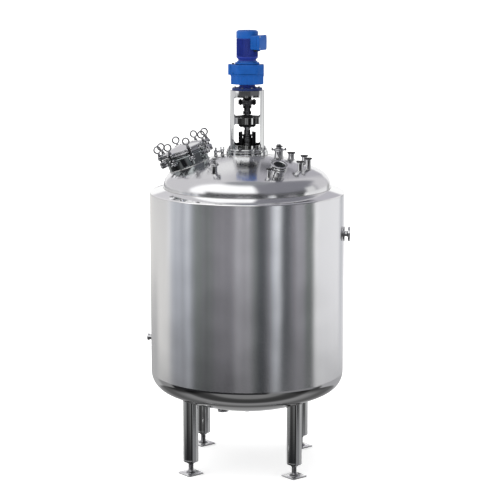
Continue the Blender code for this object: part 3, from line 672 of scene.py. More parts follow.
bright_steel = steel("bright_steel", (0.66, 0.66, 0.67), 0.08, 0.05, 0.05, (60, 60, 60), 0, 0.00001)
cut_thread = steel("cut_thread", (0.56, 0.56, 0.57), 0.26, 0.06, 0.06, (60, 900, 60))
spindle_steel = steel("spindle_steel", (0.30, 0.30, 0.31), 0.22, 0.06, 0.06, (60, 900, 60))
sole_steel = steel("sole_steel", (0.95, 0.95, 0.95), 0.20, 0.06, 0.05, (60, 60, 60))
nut_high = leg_low - CLEAR
thread = []
height = THREAD_START
while height < nut_high - NUT_THICK:
    thread += [(SCREW_R, height), (SCREW_R - THREAD_DEPTH, height + THREAD_PITCH / 2)]
    height += THREAD_PITCH
spindle_line = [(0, FOOT_THICK), (0.034, FOOT_THICK), (0.034, 0.014), (0.030, 0.0175), (0.0215, 0.0195),
                (SCREW_R - THREAD_DEPTH, 0.0265)] + thread
spindle_line += [(SCREW_R, nut_high), (SCREW_R, plate_top + SPINDLE_INSIDE), (0, plate_top + SPINDLE_INSIDE)]
sole_edge = soft(frame_of(FOOT_HALF, FOOT_HALF), FOOT_CORNER, 5)
sole = slab("foot_sole", sole_edge, 0, FOOT_THICK, 0.002, sole_steel)
foot_pattern = joined("levelling_foot", sole, turn("foot_spindle", spindle_line, spindle_steel, 40),
                      hexagon(NUT_ACROSS, nut_high - NUT_THICK, nut_high, bright_steel))
for number, leg_name in enumerate(LEG_NAMES, 1):
    foot = place(copy_of(foot_pattern), stands_at(leg_name))
    foot.name = "levelling_foot_" + str(number)
    fit(foot, "polished_steel", "foot_" + str(number))
bpy.data.objects.remove(foot_pattern)

# The jacket's connections: a flanged inlet high on the right and a capped outlet low on
# the left, short tubes welded through round pads, and a plugged boss under the bottom.
PIPE_R = 0.019
PIPE_WALL = 0.003
INLET_HEADING = radians(-6)
INLET_Z = 1.708
INLET_TIP = 0.744
FLANGE_R = 0.053
FLANGE_THICK = 0.016
FLANGE_FACE_R = 0.034
FLANGE_HOLES = 4
HOLE_CIRCLE_R = 0.0435
OUTLET_HEADING = radians(163)
OUTLET_Z = 0.880
FERRULE_R = 0.0253
FERRULE = 0.007
ROOT = JACKET_R - 0.020


def sideways(heading, z):
    """On the tank's axis, with Z pointing outwards."""
    return upright(0, 0, z, heading) @ rolled(pi / 2, "Y")


def cut(piece, *cutters):
    """Takes the cutters away from a piece."""
    cutter = joined("cutter", *cutters)
    apply(piece, "BOOLEAN", operation="DIFFERENCE", solver="EXACT", object=cutter)
    bpy.data.objects.remove(cutter)
    return smooth_over(piece)


def round_z(piece, count, radius=0.0, first=0.0):
    """The piece and its copies, evenly spaced on a circle round Z."""
    pieces = [copy_of(piece) for _ in range(count - 1)] + [piece]
    return [place(each, rolled(first + k * tau / count, "Z") @ at(radius, 0, 0))
            for k, each in enumerate(pieces)]


def ring_of_heads(count, radius, first, across, low, high, finish):
    """Hexagon heads on a circle round Z, each made by itself."""
    return [place(hexagon(across, low, high, finish),
                  rolled(first + k * tau / count, "Z") @ at(radius, 0, 0)) for k in range(count)]


bore = PIPE_R - PIPE_WALL
pad_top = JACKET_R + 0.005
back = INLET_TIP - FLANGE_THICK
face = INLET_TIP - 0.0016
inlet_line = [(bore, ROOT), (PIPE_R, ROOT), (PIPE_R, JACKET_R), (FLANGE_R, JACKET_R),
              (FLANGE_R, pad_top - 0.002), (FLANGE_R - 0.002, pad_top), (PIPE_R + 0.003, pad_top),
              (PIPE_R, pad_top + 0.003),
              (PIPE_R, back - 0.008), (PIPE_R + 0.005, back), (FLANGE_R, back), (FLANGE_R, face),
              (FLANGE_FACE_R, face), (FLANGE_FACE_R, INLET_TIP), (bore, INLET_TIP)]
inlet = turn("inlet_flange", soft(inlet_line, 0.0008, 2), bright_steel, 72)
hole = cylinder(0.0065, back - 0.02, INLET_TIP + 0.02, 24)
cut(inlet, *round_z(hole, FLANGE_HOLES, HOLE_CIRCLE_R, pi / 4))
place(inlet, sideways(INLET_HEADING, INLET_Z))
fit(inlet, "polished_steel", "jacket_inlet")

outlet_tip = (-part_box("jacket_outlet")[0].x - FERRULE_R * sin(OUTLET_HEADING)) / -cos(OUTLET_HEADING)
cap_low = outlet_tip - 0.0045
outlet_line = [(bore, ROOT), (PIPE_R, ROOT), (PIPE_R, JACKET_R + 0.002),
               (PIPE_R, outlet_tip - 2.4 * FERRULE), (FERRULE_R, outlet_tip - 1.4 * FERRULE),
               (FERRULE_R, cap_low - 0.0012),
               (FERRULE_R - 0.004, cap_low - 0.0008), (FERRULE_R - 0.004, cap_low), (FERRULE_R, cap_low),
               (FERRULE_R, outlet_tip - 0.001), (FERRULE_R - 0.006, outlet_tip), (0, outlet_tip)]
outlet = turn("outlet_stub", [(0, ROOT)] + soft(outlet_line, 0.0006, 2)[4:], bright_steel, 56)
outlet = joined("outlet_stub", outlet, bead(PIPE_R + BEAD, BEAD, at(0, 0, JACKET_R), steps=40))
fit(place(outlet, sideways(OUTLET_HEADING, OUTLET_Z)), "polished_steel", "jacket_outlet")

DRAIN_FACE_R = 0.040
DRAIN_R = 0.020
drain_low, drain_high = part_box("jacket_drain")
boss_low, boss_top = drain_low.z, drain_low.z + 0.010
drain_at = upright((drain_low.x + drain_high.x) / 2, (drain_low.y + drain_high.y) / 2)
drain_line = [(0, boss_low + 0.004), (0.012, boss_low + 0.004), (0.012, boss_low), (DRAIN_FACE_R, boss_low),
              (DRAIN_FACE_R, boss_top), (DRAIN_R, boss_top), (DRAIN_R, drain_high.z), (0, drain_high.z)]
drain_line[1:-1] = soft(drain_line, 0.0015, 3)[1:-1]
drain = place(turn("drain_boss", drain_line, bright_steel, 56), drain_at)
drain = joined("drain_boss", drain, bead(DRAIN_R, 1.4 * BEAD, drain_at, BOTTOM, 48))
fit(drain, "polished_steel", "jacket_drain")

WIDE_R = 0.032
pipe_low, pipe_high = [corner.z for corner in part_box("outlet_pipe")]
pipe_bore = BOTTOM_PIPE_R - PIPE_WALL
pipe_line = [(pipe_bore, pipe_low), (WIDE_R - 0.009, pipe_low), (WIDE_R - 0.009, pipe_low + 0.001),
             (WIDE_R - 0.005, pipe_low + 0.001), (WIDE_R - 0.005, pipe_low), (WIDE_R, pipe_low),
             (WIDE_R, pipe_low + 0.4 * FERRULE), (BOTTOM_PIPE_R + 0.001, pipe_low + 1.4 * FERRULE),
             (BOTTOM_PIPE_R, pipe_low + 2 * FERRULE), (BOTTOM_PIPE_R, pipe_high), (pipe_bore, pipe_high)]
pipe = joined("bottom_outlet_tube", turn("tube", pipe_line, bright_steel, 64),
              bead(BOTTOM_PIPE_R, 1.4 * BEAD, Matrix(), BOTTOM, 64))
fit(pipe, "polished_steel", "outlet_pipe")

# The manway: a short, wide neck set square to the head's slope. Its lid lies on a soft
# ring and is held down by eight hinged bolts, each swung up between two pairs of ears.
MANWAY_OUT = 0.416
NECK_R = 0.150
NECK_BORE = 0.142
RIM_R = 0.156
RIM_LOW = 0.070
NECK_TOP = 0.086
LID_RIM = 0.124
LID_RISE = 0.028
EAR_ROOT = 0.145
EAR_OUT = 0.200
EAR_THICK = 0.008
EAR_SLOT = 0.020
HINGED_BOLTS = 8
BOLT_CIRCLE_R = 0.183
FIRST_BOLT = radians(14.5)
EYE_HIGH = 0.052
PIN_R = 0.006
PIN_HEAD_R = 0.0085


def on_dish(radius, heading):
    """On the head, with Z along the plate's normal."""
    return (rolled(heading, "Z") @ at(radius, 0, HEAD.height(radius, 0))
            @ rolled(asin(radius / HEAD.crown), "Y"))


def moulded(name, colour, rough, mottle=0.2):
    """Rubber or plastic: a faintly mottled colour and a fine, matt skin."""
    made, shader = material(name)
    tree = made.node_tree
    coords = node(tree, "ShaderNodeTexCoord").outputs["Object"]
    cloud = noise(tree, coords, 90.0, 4.0, 0.6)
    dim, lit = [tuple(part * (1 + side * mottle) for part in colour) for side in (-1, 1)]
    feed(tree, shader.inputs["Base Color"], ramp(tree, cloud, (0.3, dim), (0.7, lit)))
    feed(tree, shader.inputs["Roughness"], plus(tree, times(tree, cloud, 0.16), rough - 0.08))
    feed(tree, shader.inputs["Normal"], bumped(tree, cloud, 0.4, 0.0002))
    return made


def ears(low, high):
    """Pairs of upright ears round the manway, one pair for each hinged bolt."""
    outline = soft([(EAR_ROOT, low), (EAR_OUT, low), (EAR_OUT, high), (EAR_ROOT, high)], 0.011, 5)
    ear = place(slab("ear", outline, -EAR_THICK / 2, EAR_THICK / 2, 0.001, mirror_plate), across)
    apart = at(0, (EAR_SLOT + EAR_THICK) / 2, 0)
    pair = joined("pair", place(copy_of(ear), apart), place(ear, apart.inverted()))
    return round_z(pair, HINGED_BOLTS, 0, FIRST_BOLT)


across = rolled(pi / 2, "X")
MANWAY = on_dish(MANWAY_OUT, pi)
cut(head, place(cylinder(NECK_R - 0.001, -0.1, 0.1, 96), MANWAY))
neck_line = [(NECK_BORE, -RIM_LOW), (NECK_R, -RIM_LOW), (NECK_R, RIM_LOW - 0.006), (RIM_R, RIM_LOW),
             (RIM_R, NECK_TOP), (NECK_BORE, NECK_TOP)]
# The neck's steel is darker and greener than the other steel: a painted reflection of the dark surroundings
# it mirrors.
neck_steel_painted_reflection = steel("neck_steel_painted_reflection", (0.42, 0.45, 0.45), 0.05, 0.05, 0.04, (40, 300, 40), 0.001)
pin_end = EAR_SLOT / 2 + EAR_THICK + 0.003
pin_half = [(PIN_R, pin_end - 0.003), (PIN_HEAD_R, pin_end - 0.003), (PIN_HEAD_R, pin_end), (0, pin_end)]
pin = turn("pin", [(r, -z) for r, z in reversed(pin_half)] + pin_half, bright_steel, 24)
pins = round_z(place(pin, at(0, 0, EYE_HIGH) @ across), HINGED_BOLTS, BOLT_CIRCLE_R, FIRST_BOLT)
crown_drop = NECK_R ** 2 / (2 * HEAD.crown)
neck = joined("manway_neck_tube", turn("neck", soft(neck_line, 0.002), neck_steel_painted_reflection, 128), *ears(0.034, 0.080),
              bead(NECK_R + BEAD, 1.6 * BEAD, at(0, 0, -crown_drop)), *pins)
fit(place(neck, MANWAY), "polished_steel", "manway_neck")

black_rubber = moulded("black_rubber", (0.018, 0.018, 0.019), 0.55)
gasket = place(hoop(RIM_R - 0.001, 0.0024, black_rubber, 96, 10), MANWAY @ at(0, 0, NECK_TOP))
gasket.name = "manway_gasket"
fit(gasket, "dark_steel")

lid_low = NECK_TOP + CLEAR
waist = RIM_R - 0.005
lid_line = [(RIM_R, lid_low), (RIM_R, lid_low + 0.009), (waist, lid_low + 0.012), (waist, LID_RIM - 0.012),
            (RIM_R, LID_RIM - 0.009), (RIM_R, LID_RIM - 0.004), (RIM_R - 0.006, LID_RIM)]
dome = [(r, LID_RIM + LID_RISE * (1 - (r / (RIM_R - 0.006)) ** 2.4)) for r in between(RIM_R - 0.014, 0, 22)]
lid_line = [(0, lid_low)] + soft([(0.1, lid_low)] + lid_line + dome[:1], 0.0015)[4:-4] + dome
lid = joined("manway_lid_plate", turn("lid", lid_line, mirror_plate, 128), *ears(0.094, 0.122))
fit(place(lid, MANWAY), "polished_steel", "manway_lid")

# The hinged bolts: a rod with an eye at its foot, threaded above, and a forged ring nut
# that is spun down on the lid's ears by hand. Each ring has come to rest its own way.
BOLT_R = 0.007
EYE_R = 0.012
COLLAR = 0.1223
COLLAR_R = 0.014
COLLAR_TOP = 0.1403
NUT_RING_R = 0.0235
NUT_BAR_R = 0.0055
NUT_RING_Z = 0.174
RING_SWING = radians(18)
forged_steel = steel("forged_steel", (0.34, 0.34, 0.35), 0.10, 0.08, 0.05, (60, 60, 60))
# The rods are near black: painted shade for the dark slots between the ears, which the rods fill.
rod_painted_shade = steel("rod_painted_shade", (0.10, 0.10, 0.105), 0.30, 0.06, 0.06, (60, 900, 60))
rod_line = [(0, EYE_HIGH), (BOLT_R, EYE_HIGH), (BOLT_R, COLLAR - 0.022)]
height = COLLAR - 0.021
while height < COLLAR - 0.001:
    rod_line += [(BOLT_R, height), (BOLT_R - 0.0008, height + 0.001)]
    height += 0.002
rod_line += [(BOLT_R, COLLAR + 0.001), (0, COLLAR + 0.001)]
eye_line = [(0, -0.0092), (EYE_R - 0.002, -0.0092), (EYE_R, -0.0075), (EYE_R, 0.0075),
            (EYE_R - 0.002, 0.0092), (0, 0.0092)]
eye = place(turn("eye", eye_line, bright_steel, 28), at(0, 0, EYE_HIGH) @ across)
bolt_pattern = joined("hinged_bolt", turn("bolt_rod", rod_line, rod_painted_shade, 24), eye)
ring_low = NUT_RING_Z - NUT_RING_R
nut_line = [(0, COLLAR), (COLLAR_R - 0.001, COLLAR), (COLLAR_R, COLLAR + 0.001), (COLLAR_R, COLLAR + 0.004),
            (0.0115, COLLAR + 0.006), (0.0105, COLLAR_TOP - 0.003), (0.0085, COLLAR_TOP + 0.004),
            (0.0070, ring_low), (0, ring_low)]
nut_ring = place(hoop(NUT_RING_R, NUT_BAR_R, forged_steel, 40, 14), at(0, 0, NUT_RING_Z) @ across)
ring_pattern = joined("ring_nut", turn("ring_foot", nut_line, forged_steel, 28), nut_ring)
for k in range(HINGED_BOLTS):
    heading = FIRST_BOLT + k * tau / HINGED_BOLTS
    ring_nut = place(copy_of(ring_pattern), rolled(RING_SWING * sin(2 * k + 1) - heading, "Z"))
    bolt = joined("hinged_bolt_" + str(k + 1), copy_of(bolt_pattern), ring_nut)
    place(bolt, MANWAY @ rolled(heading, "Z") @ at(BOLT_CIRCLE_R, 0, 0))
    fit(bolt, "polished_steel", "swing_bolt_" + str(k + 1))
bpy.data.objects.remove(bolt_pattern)
bpy.data.objects.remove(ring_pattern)

# The small head nozzles: upright tubes let through the head and welded round, each with a
# rolled rim on top. Five stay closed with black caps until a pipe is clamped to them.
NOZZLES = {  # x, y, tube radius, height above the head, rim radius
    "spray_nozzle": (0.226, -0.055, 0.0318, 0.058, 0.0360),
    "vent_nozzle": (0.316, 0.005, 0.0225, 0.050, 0.0270),
    "feed_nozzle_right": (0.432, -0.166, 0.0190, 0.080, 0.0253),
    "feed_nozzle_front": (0.372, -0.272, 0.0190, 0.070, 0.0253),
    "feed_nozzle_rear": (0.410, 0.030, 0.0190, 0.055, 0.0253),
    "lamp_nozzle": (0.150, -0.478, 0.0127, 0.062, 0.0165),
    "gauge_nozzle": (-0.226, 0.030, 0.0127, 0.036, 0.0165),
    "air_nozzle": (-0.178, 0.015, 0.0127, 0.040, 0.0165),
    "dosing_nozzle": (-0.227, -0.400, 0.0190, 0.064, 0.0253)}
BLACK_CAPPED = ("vent_nozzle", "feed_nozzle_right", "feed_nozzle_front", "feed_nozzle_rear", "lamp_nozzle")
NECK_INSIDE = 0.030
BLACK_CAP = 0.0095
cap_plastic = moulded("cap_plastic", (0.010, 0.010, 0.011), 0.45)
head_holes = []
nozzle_tops = {}
rim_low = -0.6 * FERRULE
for name, (x, y, tube_r, tall, rim_r) in NOZZLES.items():
    foot_z = HEAD.height(x, y)
    nozzle_tops[name] = at(x, y, foot_z + tall)
    head_holes.append(place(cylinder(tube_r - 0.001, -0.1, 0.1, 48), at(x, y, foot_z)))
    bore = tube_r - PIPE_WALL
    tube_line = [(bore, -tall - NECK_INSIDE), (tube_r, -tall - NECK_INSIDE), (tube_r, -2.1 * FERRULE),
                 (rim_r, rim_low - 0.0012), (rim_r, rim_low), (bore + 0.0015, rim_low),
                 (bore, rim_low - 0.0015)]
    cap_r = rim_r
    finish = bright_steel
    skirt = [(cap_r - 0.0025, rim_low + 0.0004), (cap_r, rim_low + 0.0004)]
    if name in BLACK_CAPPED:
        cap_r = rim_r + 0.0022
        finish = cap_plastic
        skirt = [(rim_r + CLEAR, rim_low + 0.0008), (rim_r + CLEAR, -BLACK_CAP), (cap_r, -BLACK_CAP)]
    cap_line = [(0, rim_low + 0.0008)] + skirt + [(cap_r, -0.0012), (cap_r - 0.0014, 0), (0.55 * rim_r, 0),
                                                  (0.5 * rim_r, -0.0008), (0, -0.0008)]
    tube = turn("tube", soft(tube_line, 0.0007, 2), bright_steel, 56)
    nozzle = place(joined("nozzle", tube, turn("cap", cap_line, finish, 56)), nozzle_tops[name])
    nozzle = joined(name + "_tube", nozzle, bead(tube_r, 1.3 * BEAD, upright(x, y), HEAD, 56))
    if name not in ("air_nozzle", "gauge_nozzle"):
        fit(nozzle, "polished_steel", name)
cut(head, *head_holes)

# The air line: a short tube between the two small nozzles behind the manway, with a pair
# of lugs on the one cap and a gauge stem on the other.
LINE_R = 0.009
STEM_R = 0.007
STEM_TALL = 0.024
LUG_TALL = 0.018
LUG_OUT = 0.0105
air_top = nozzle_tops["air_nozzle"].translation
gauge_top = nozzle_tops["gauge_nozzle"].translation
line_way = (gauge_top - air_top).xy
line_from = NOZZLES["air_nozzle"][2] - PIPE_WALL
line_to = line_way.length - NOZZLES["gauge_nozzle"][4] - CLEAR
line_spot = upright(air_top.x, air_top.y, gauge_top.z - FERRULE / 2, atan2(line_way.y, line_way.x))
union_mid = (line_from + line_to) / 2 + 0.002
air_line = [(0, line_from), (LINE_R, line_from), (LINE_R, union_mid - 0.004),
            (LINE_R + 0.0016, union_mid - 0.003), (LINE_R + 0.0016, union_mid + 0.003),
            (LINE_R, union_mid + 0.004), (LINE_R, line_to), (0, line_to)]
air_parts = [place(turn("air_tube", air_line, bright_steel, 32), line_spot @ rolled(pi / 2, "Y"))]
for side in (-LUG_OUT, LUG_OUT):
    lug = slab("lug", soft(frame_of(0.0045, 0.004), 0.0015, 3), -0.002, LUG_TALL, 0.001, bright_steel)
    air_parts.append(place(lug, nozzle_tops["air_nozzle"] @ at(side, 0, 0)))
air_nozzle = joined("air_nozzle_tube", bpy.data.objects["air_nozzle_tube"], *air_parts)
fit(air_nozzle, "polished_steel", "air_nozzle")
stem_line = [(0, -0.002), (0.0095, -0.002), (0.0095, 0.006), (STEM_R, 0.008), (STEM_R, 0.016),
             (STEM_R + 0.001, 0.017), (STEM_R + 0.001, STEM_TALL - 0.002), (STEM_R, STEM_TALL),
             (0, STEM_TALL)]
stem = place(turn("gauge_stem", stem_line, bright_steel, 28), nozzle_tops["gauge_nozzle"])
gauge_nozzle = joined("gauge_nozzle_tube", bpy.data.objects["gauge_nozzle_tube"], stem)
fit(gauge_nozzle, "polished_steel", "gauge_nozzle")

# The clamps: two cast half rings over a pair of rims, hinged on one side and drawn
# together on the other by an eye bolt with a wing nut.
CLAMP_BAND = 0.005
CLAMP_TOP = 0.003
CLAMP_LOW = -FERRULE - CLAMP_TOP
screw_line = [(0, -0.012), (0.0028, -0.012), (0.0028, 0.007), (0.0022, 0.008), (0, 0.008)]
wing_screw = turn("wing_screw", screw_line, cut_thread, 16)
wing_hub = turn("wing_hub", [(0, 0), (0.0052, 0), (0.0045, 0.006), (0, 0.006)], bright_steel, 20)
wing_edge = soft([(0.003, 0.001), (0.0065, 0.003), (0.0085, 0.015), (0.0045, 0.014)], 0.002, 4)
wing = place(slab("wing", wing_edge, -0.0013, 0.0013, 0.0005, bright_steel), across)
wing_nut = joined("wing_nut", wing_screw, wing_hub, *round_z(wing, 2))
for name, sides in (("spray", (0.0, pi)), ("dosing", (radians(-60),))):
    inner = NOZZLES[name + "_nozzle"][4] + CLEAR
    outer = NOZZLES[name + "_nozzle"][4] + CLAMP_BAND
    band_line = [(inner, CLAMP_LOW), (outer - 0.002, CLAMP_LOW), (outer, CLAMP_LOW + 0.003),
                 (outer, CLAMP_TOP - 0.003), (outer - 0.002, CLAMP_TOP), (inner, CLAMP_TOP)]
    parts = [turn("band", soft(band_line, 0.001, 2), bright_steel, 72)]
    lug_edge = soft([(inner + 0.003, 0.0012), (outer + 0.013, 0.0012), (outer + 0.013, 0.0058),
                     (inner + 0.003, 0.0058)], 0.0015, 3)
    for side in sides:
        for half in (-1, 1):
            lug = slab("lug", lug_edge, CLAMP_LOW + 0.001, CLAMP_TOP - 0.001, 0.0007, bright_steel)
            parts.append(place(lug, rolled(side, "Z") @ Matrix.Diagonal((1, half, 1, 1))))
        parts.append(place(copy_of(wing_nut), rolled(side, "Z") @ at(outer + 0.006, 0, 0.002)))
    clamp = place(joined(name + "_clamp_band", *parts), nozzle_tops[name + "_nozzle"])
    bpy.ops.object.mode_set(mode="EDIT")
    bpy.ops.mesh.select_all(action="SELECT")
    bpy.ops.mesh.normals_make_consistent(inside=False)
    bpy.ops.object.mode_set(mode="OBJECT")
    fit(clamp, "polished_steel", name + "_clamp")
bpy.data.objects.remove(wing_nut)

# The relief valve on the spray nozzle: a turned body with a spring bonnet, a knob and a
# black lifting lever. The level probe on the dosing nozzle is a rod with a round head.
valve_line = [(0, CLEAR), (0.028, CLEAR), (0.028, 0.006), (0.024, 0.008), (0.021, 0.009), (0.0195, 0.012),
              (0.0195, 0.016), (0.0145, 0.0175), (0.0145, 0.031), (0.0125, 0.036), (0, 0.036)]
lever_edge = soft([(-0.004, -0.004), (0.044, -0.0055), (0.052, 0), (0.044, 0.0055), (-0.004, 0.004)],
                  0.003, 4)
lever = place(slab("lever", lever_edge, 0.001, 0.0045, 0.001, cap_plastic),
              upright(0, 0, 0.028, radians(-52)) @ rolled(radians(14), "Y"))
valve = joined("relief_valve_body", turn("valve", valve_line, forged_steel),
               hexagon(0.036, 0.018, 0.0275, forged_steel), lever)
fit(place(valve, nozzle_tops["spray_nozzle"]), "polished_steel", "relief_valve")
probe_line = [(0, CLEAR), (0.017, CLEAR), (0.017, 0.005), (0.0145, 0.006), (0.008, 0.010), (0.008, 0.028),
              (0.0105, 0.030), (0.019, 0.030), (0.019, 0.041), (0.017, 0.043), (0, 0.043)]
probe = joined("level_probe_head", turn("probe", probe_line, bright_steel),
               hexagon(0.0225, 0.013, 0.021, bright_steel),
               place(hoop(0.0189, 0.0009, black_rubber, 48), at(0, 0, 0.0355)))
fit(place(probe, nozzle_tops["dosing_nozzle"]), "polished_steel", "level_probe")

# The sight glass: a wide neck square to the slope, a thick round pane on its flange,
# and an upper ring drawn down on it by eight cap screws.
SIGHT_OUT = 0.470
SIGHT_HEADING = radians(-63.5)
SIGHT_R = 0.060
SIGHT_NECK_R = 0.045
SIGHT_BORE = 0.038
SIGHT_FLANGE_LOW = 0.042
SIGHT_FLANGE_TOP = 0.058
PANE_R = 0.046
PANE_TOP = 0.070
SIGHT_TOP = 0.080
RING_BORE = 0.040
SIGHT_SCREWS = 8
SIGHT_SCREW_CIRCLE_R = 0.0525
SIGHT = on_dish(SIGHT_OUT, SIGHT_HEADING)
cut(head, place(cylinder(SIGHT_NECK_R - 0.001, -0.1, 0.1, 64), SIGHT))
sight_line = [(SIGHT_BORE, -NECK_INSIDE), (SIGHT_NECK_R, -NECK_INSIDE), (SIGHT_NECK_R, SIGHT_FLANGE_LOW),
              (SIGHT_R, SIGHT_FLANGE_LOW), (SIGHT_R, SIGHT_FLANGE_TOP), (SIGHT_BORE, SIGHT_FLANGE_TOP)]
sight_drop = SIGHT_NECK_R ** 2 / (2 * HEAD.crown)
sight_neck = joined("sight_glass_tube", turn("neck", soft(sight_line, 0.0012), bright_steel, 80),
                    bead(SIGHT_NECK_R, 1.5 * BEAD, at(0, 0, -sight_drop), steps=64))
fit(place(sight_neck, SIGHT), "polished_steel", "sight_glass_neck")


def cap_screw(radius, low, high):
    """A socket cap screw: a turned head with a six-sided recess."""
    line = [(0, low), (radius, low), (radius, high - 0.0006), (radius - 0.0006, high), (0, high)]
    return cut(turn("cap_screw", line, cut_thread, 24),
               cylinder(0.55 * radius, high - 0.6 * (high - low), high + 0.01, 6))


ring_low = SIGHT_FLANGE_TOP + CLEAR
ring_line = [(PANE_R + CLEAR, ring_low), (SIGHT_R, ring_low), (SIGHT_R, SIGHT_TOP - 0.002),
             (SIGHT_R - 0.002, SIGHT_TOP), (RING_BORE + 0.003, SIGHT_TOP), (RING_BORE, SIGHT_TOP - 0.004),
             (RING_BORE, PANE_TOP + CLEAR), (PANE_R + CLEAR, PANE_TOP + CLEAR)]
sight_screw = cap_screw(0.0048, SIGHT_TOP - 0.0002, SIGHT_TOP + 0.0048)
upper_ring = joined("sight_glass_upper_ring", turn("ring", soft(ring_line, 0.0006, 2), bright_steel, 80),
                    *round_z(sight_screw, SIGHT_SCREWS, SIGHT_SCREW_CIRCLE_R, pi / SIGHT_SCREWS))
fit(place(upper_ring, SIGHT), "polished_steel", "sight_glass_ring")
pane_glass, pane_shader = material("pane_glass", Transmission_Weight=1.0, IOR=1.50)
tree = pane_glass.node_tree
coords = node(tree, "ShaderNodeTexCoord").outputs["Object"]
smears = noise(tree, coords, 24.0, 4.0)
# The pane's green is the glass's own tint, darkened further as painted shade for the dark vessel behind it.
green_tint_and_shade = ramp(tree, smears, (0.3, (0.07, 0.15, 0.12)), (0.7, (0.09, 0.18, 0.15)))
feed(tree, pane_shader.inputs["Base Color"], green_tint_and_shade)
feed(tree, pane_shader.inputs["Roughness"], times(tree, smears, 0.05))
pane_line = [(0, ring_low), (PANE_R - 0.001, ring_low), (PANE_R, ring_low + 0.001),
             (PANE_R, PANE_TOP - 0.001), (PANE_R - 0.001, PANE_TOP), (0, PANE_TOP)]
fit(place(turn("sight_glass_disc", pane_line, pane_glass, 72), SIGHT), "sight_glass", "sight_glass_pane")

# The pad flange: a thick round plate welded over the hole in the middle of the head. The
# lantern's foot is held down on it by eight studs with nuts and washers.
PAD_BORE = 0.060
PAD_R = 0.150
STUDS = 8
STUD_CIRCLE_R = 0.1355
STUD_R = 0.0055
WASHER_R = 0.0105
WASHER = 0.0018
LANTERN_FOOT = 0.014
pad_low, pad_high = [corner.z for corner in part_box("pad_flange")]
foot_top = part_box("lantern")[0].z + LANTERN_FOOT
pad_line = [(PAD_BORE, pad_low), (PAD_NECK_R, pad_low), (PAD_NECK_R, HEAD.height(PAD_NECK_R, 0) + CLEAR),
            (PAD_R, HEAD.height(PAD_R, 0) + CLEAR), (PAD_R, pad_high), (PAD_BORE, pad_high)]
pad = joined("pad_plate", turn("pad", soft(pad_line, 0.002, 4), mirror_tube, 128),
             bead(PAD_R, 1.4 * BEAD, Matrix(), HEAD, 128))
fit(pad, "polished_steel", "pad_flange")
stud_line = [(0, -0.004), (WASHER_R, -0.004), (WASHER_R, WASHER), (STUD_R, WASHER), (STUD_R, 0.017),
             (STUD_R - 0.001, 0.018), (0, 0.018)]
stud = joined("stud", turn("stud", [(r, foot_top + z) for r, z in stud_line], cut_thread, 24),
              hexagon(0.0165, foot_top + WASHER, foot_top + 0.0105, bright_steel))
fit(joined("lantern_studs", *round_z(stud, STUDS, STUD_CIRCLE_R, pi / STUDS)), "polished_steel")

# The lantern: a rolled and turned stainless drum on a flanged foot, with two windows cut
# right through it, through which the seal and the coupling are reached.
LANTERN_R = 0.122
LANTERN_WALL = 0.008
LANTERN_ROOF = 0.012
FOOT_R = 0.146
TOP_BORE = 0.040
WINDOWS = ((2.346, 2.498), (2.542, 2.686))
WINDOW_HALF = 0.092
WINDOW_CORNER = 0.018
lantern_low, lantern_high = [corner.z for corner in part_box("lantern")]
roof_low = lantern_high - LANTERN_ROOF
inside = LANTERN_R - LANTERN_WALL
# Dark steel for the coupling, also used as painted shade on the lantern drum's inner wall.
dark_steel = steel("dark_steel", (0.16, 0.16, 0.17), 0.30, 0.10, 0.08, (60, 300, 60))
cage_line = [(inside, lantern_low), (FOOT_R, lantern_low), (FOOT_R, foot_top), (LANTERN_R + 0.002, foot_top),
             (LANTERN_R, foot_top + 0.003), (LANTERN_R, lantern_high), (TOP_BORE, lantern_high),
             (TOP_BORE, roof_low), (inside, roof_low)]
cage = turn("lantern_cage", soft(cage_line, 0.0012, 3), mirror_tube, 144)
openings = []
for low, high in WINDOWS:
    edge = [(WINDOW_HALF, low), (WINDOW_HALF, high), (-WINDOW_HALF, high), (-WINDOW_HALF, low)]
    opening = slab("opening", soft(edge, WINDOW_CORNER, 8), -0.2, 0.2, 0, mirror_tube)
    openings.append(place(opening, across))
cut(cage, *openings)
bevel(cage, 0.0008)
# The drum's inner wall gets the dark steel: painted shade inside the lantern, though the drum is one
# stainless sheet.
cage.data.materials.append(dark_steel)
for face in cage.data.polygons:
    middle = face.center
    if middle.xy.length < LANTERN_R - 0.0015 and foot_top < middle.z < lantern_high - LANTERN_ROOF / 2:
        face.material_index = 1
fit(smooth_over(cage), "satin_steel", "lantern")

# The bearing housing: a cast iron hub and plate across the lantern, painted dark, with
# a ring of cap screws round its cover and a smaller ring under its hub.
SHAFT_R = 0.020
PLATE_LOW = 2.502
PLATE_TOP = 2.538
HUB_R = 0.061
COVER_R = 0.060
HOUSING_SCREWS = 6


def cast_skin():
    """Colour, roughness and height of a painted casting, with dust on what faces up."""
    group = bpy.data.node_groups.new("cast_skin", "ShaderNodeTree")
    add_socket(group, "INPUT", "Color", "Paint", rgba(0.1))
    add_socket(group, "INPUT", "Float", "Base Roughness")
    add_socket(group, "INPUT", "Float", "Dust")
    add_socket(group, "OUTPUT", "Color", "Colour")
    add_socket(group, "OUTPUT", "Float", "Roughness")
    add_socket(group, "OUTPUT", "Float", "Height")
    given = group.nodes.new("NodeGroupInput").outputs
    coords = node(group, "ShaderNodeTexCoord").outputs["Object"]
    patches = noise(group, coords, 14.0, 5.0, 0.6)
    pits = noise(group, coords, 260.0, 2.0)
    normal = node(group, "ShaderNodeNewGeometry").outputs["Normal"]
    faces_up = maths(group, "MAXIMUM", node(group, "ShaderNodeSeparateXYZ", Vector=normal).outputs["Z"], 0.0)
    dust = times(group, faces_up, times(group, patches, given["Dust"]))
    uneven = ramp(group, patches, (0.25, 0.82), (0.75, 1.12))
    paint = mixed(group, 1.0, given["Paint"], uneven, "MULTIPLY")
    rough = plus(group, given["Base Roughness"], times(group, maths(group, "SUBTRACT", patches, 0.5), 0.22))
    node(group, "NodeGroupOutput", Colour=mixed(group, dust, paint, (0.42, 0.41, 0.39, 1)),
         Roughness=plus(group, rough, dust), Height=pits)
    return group


CAST_SKIN = cast_skin()


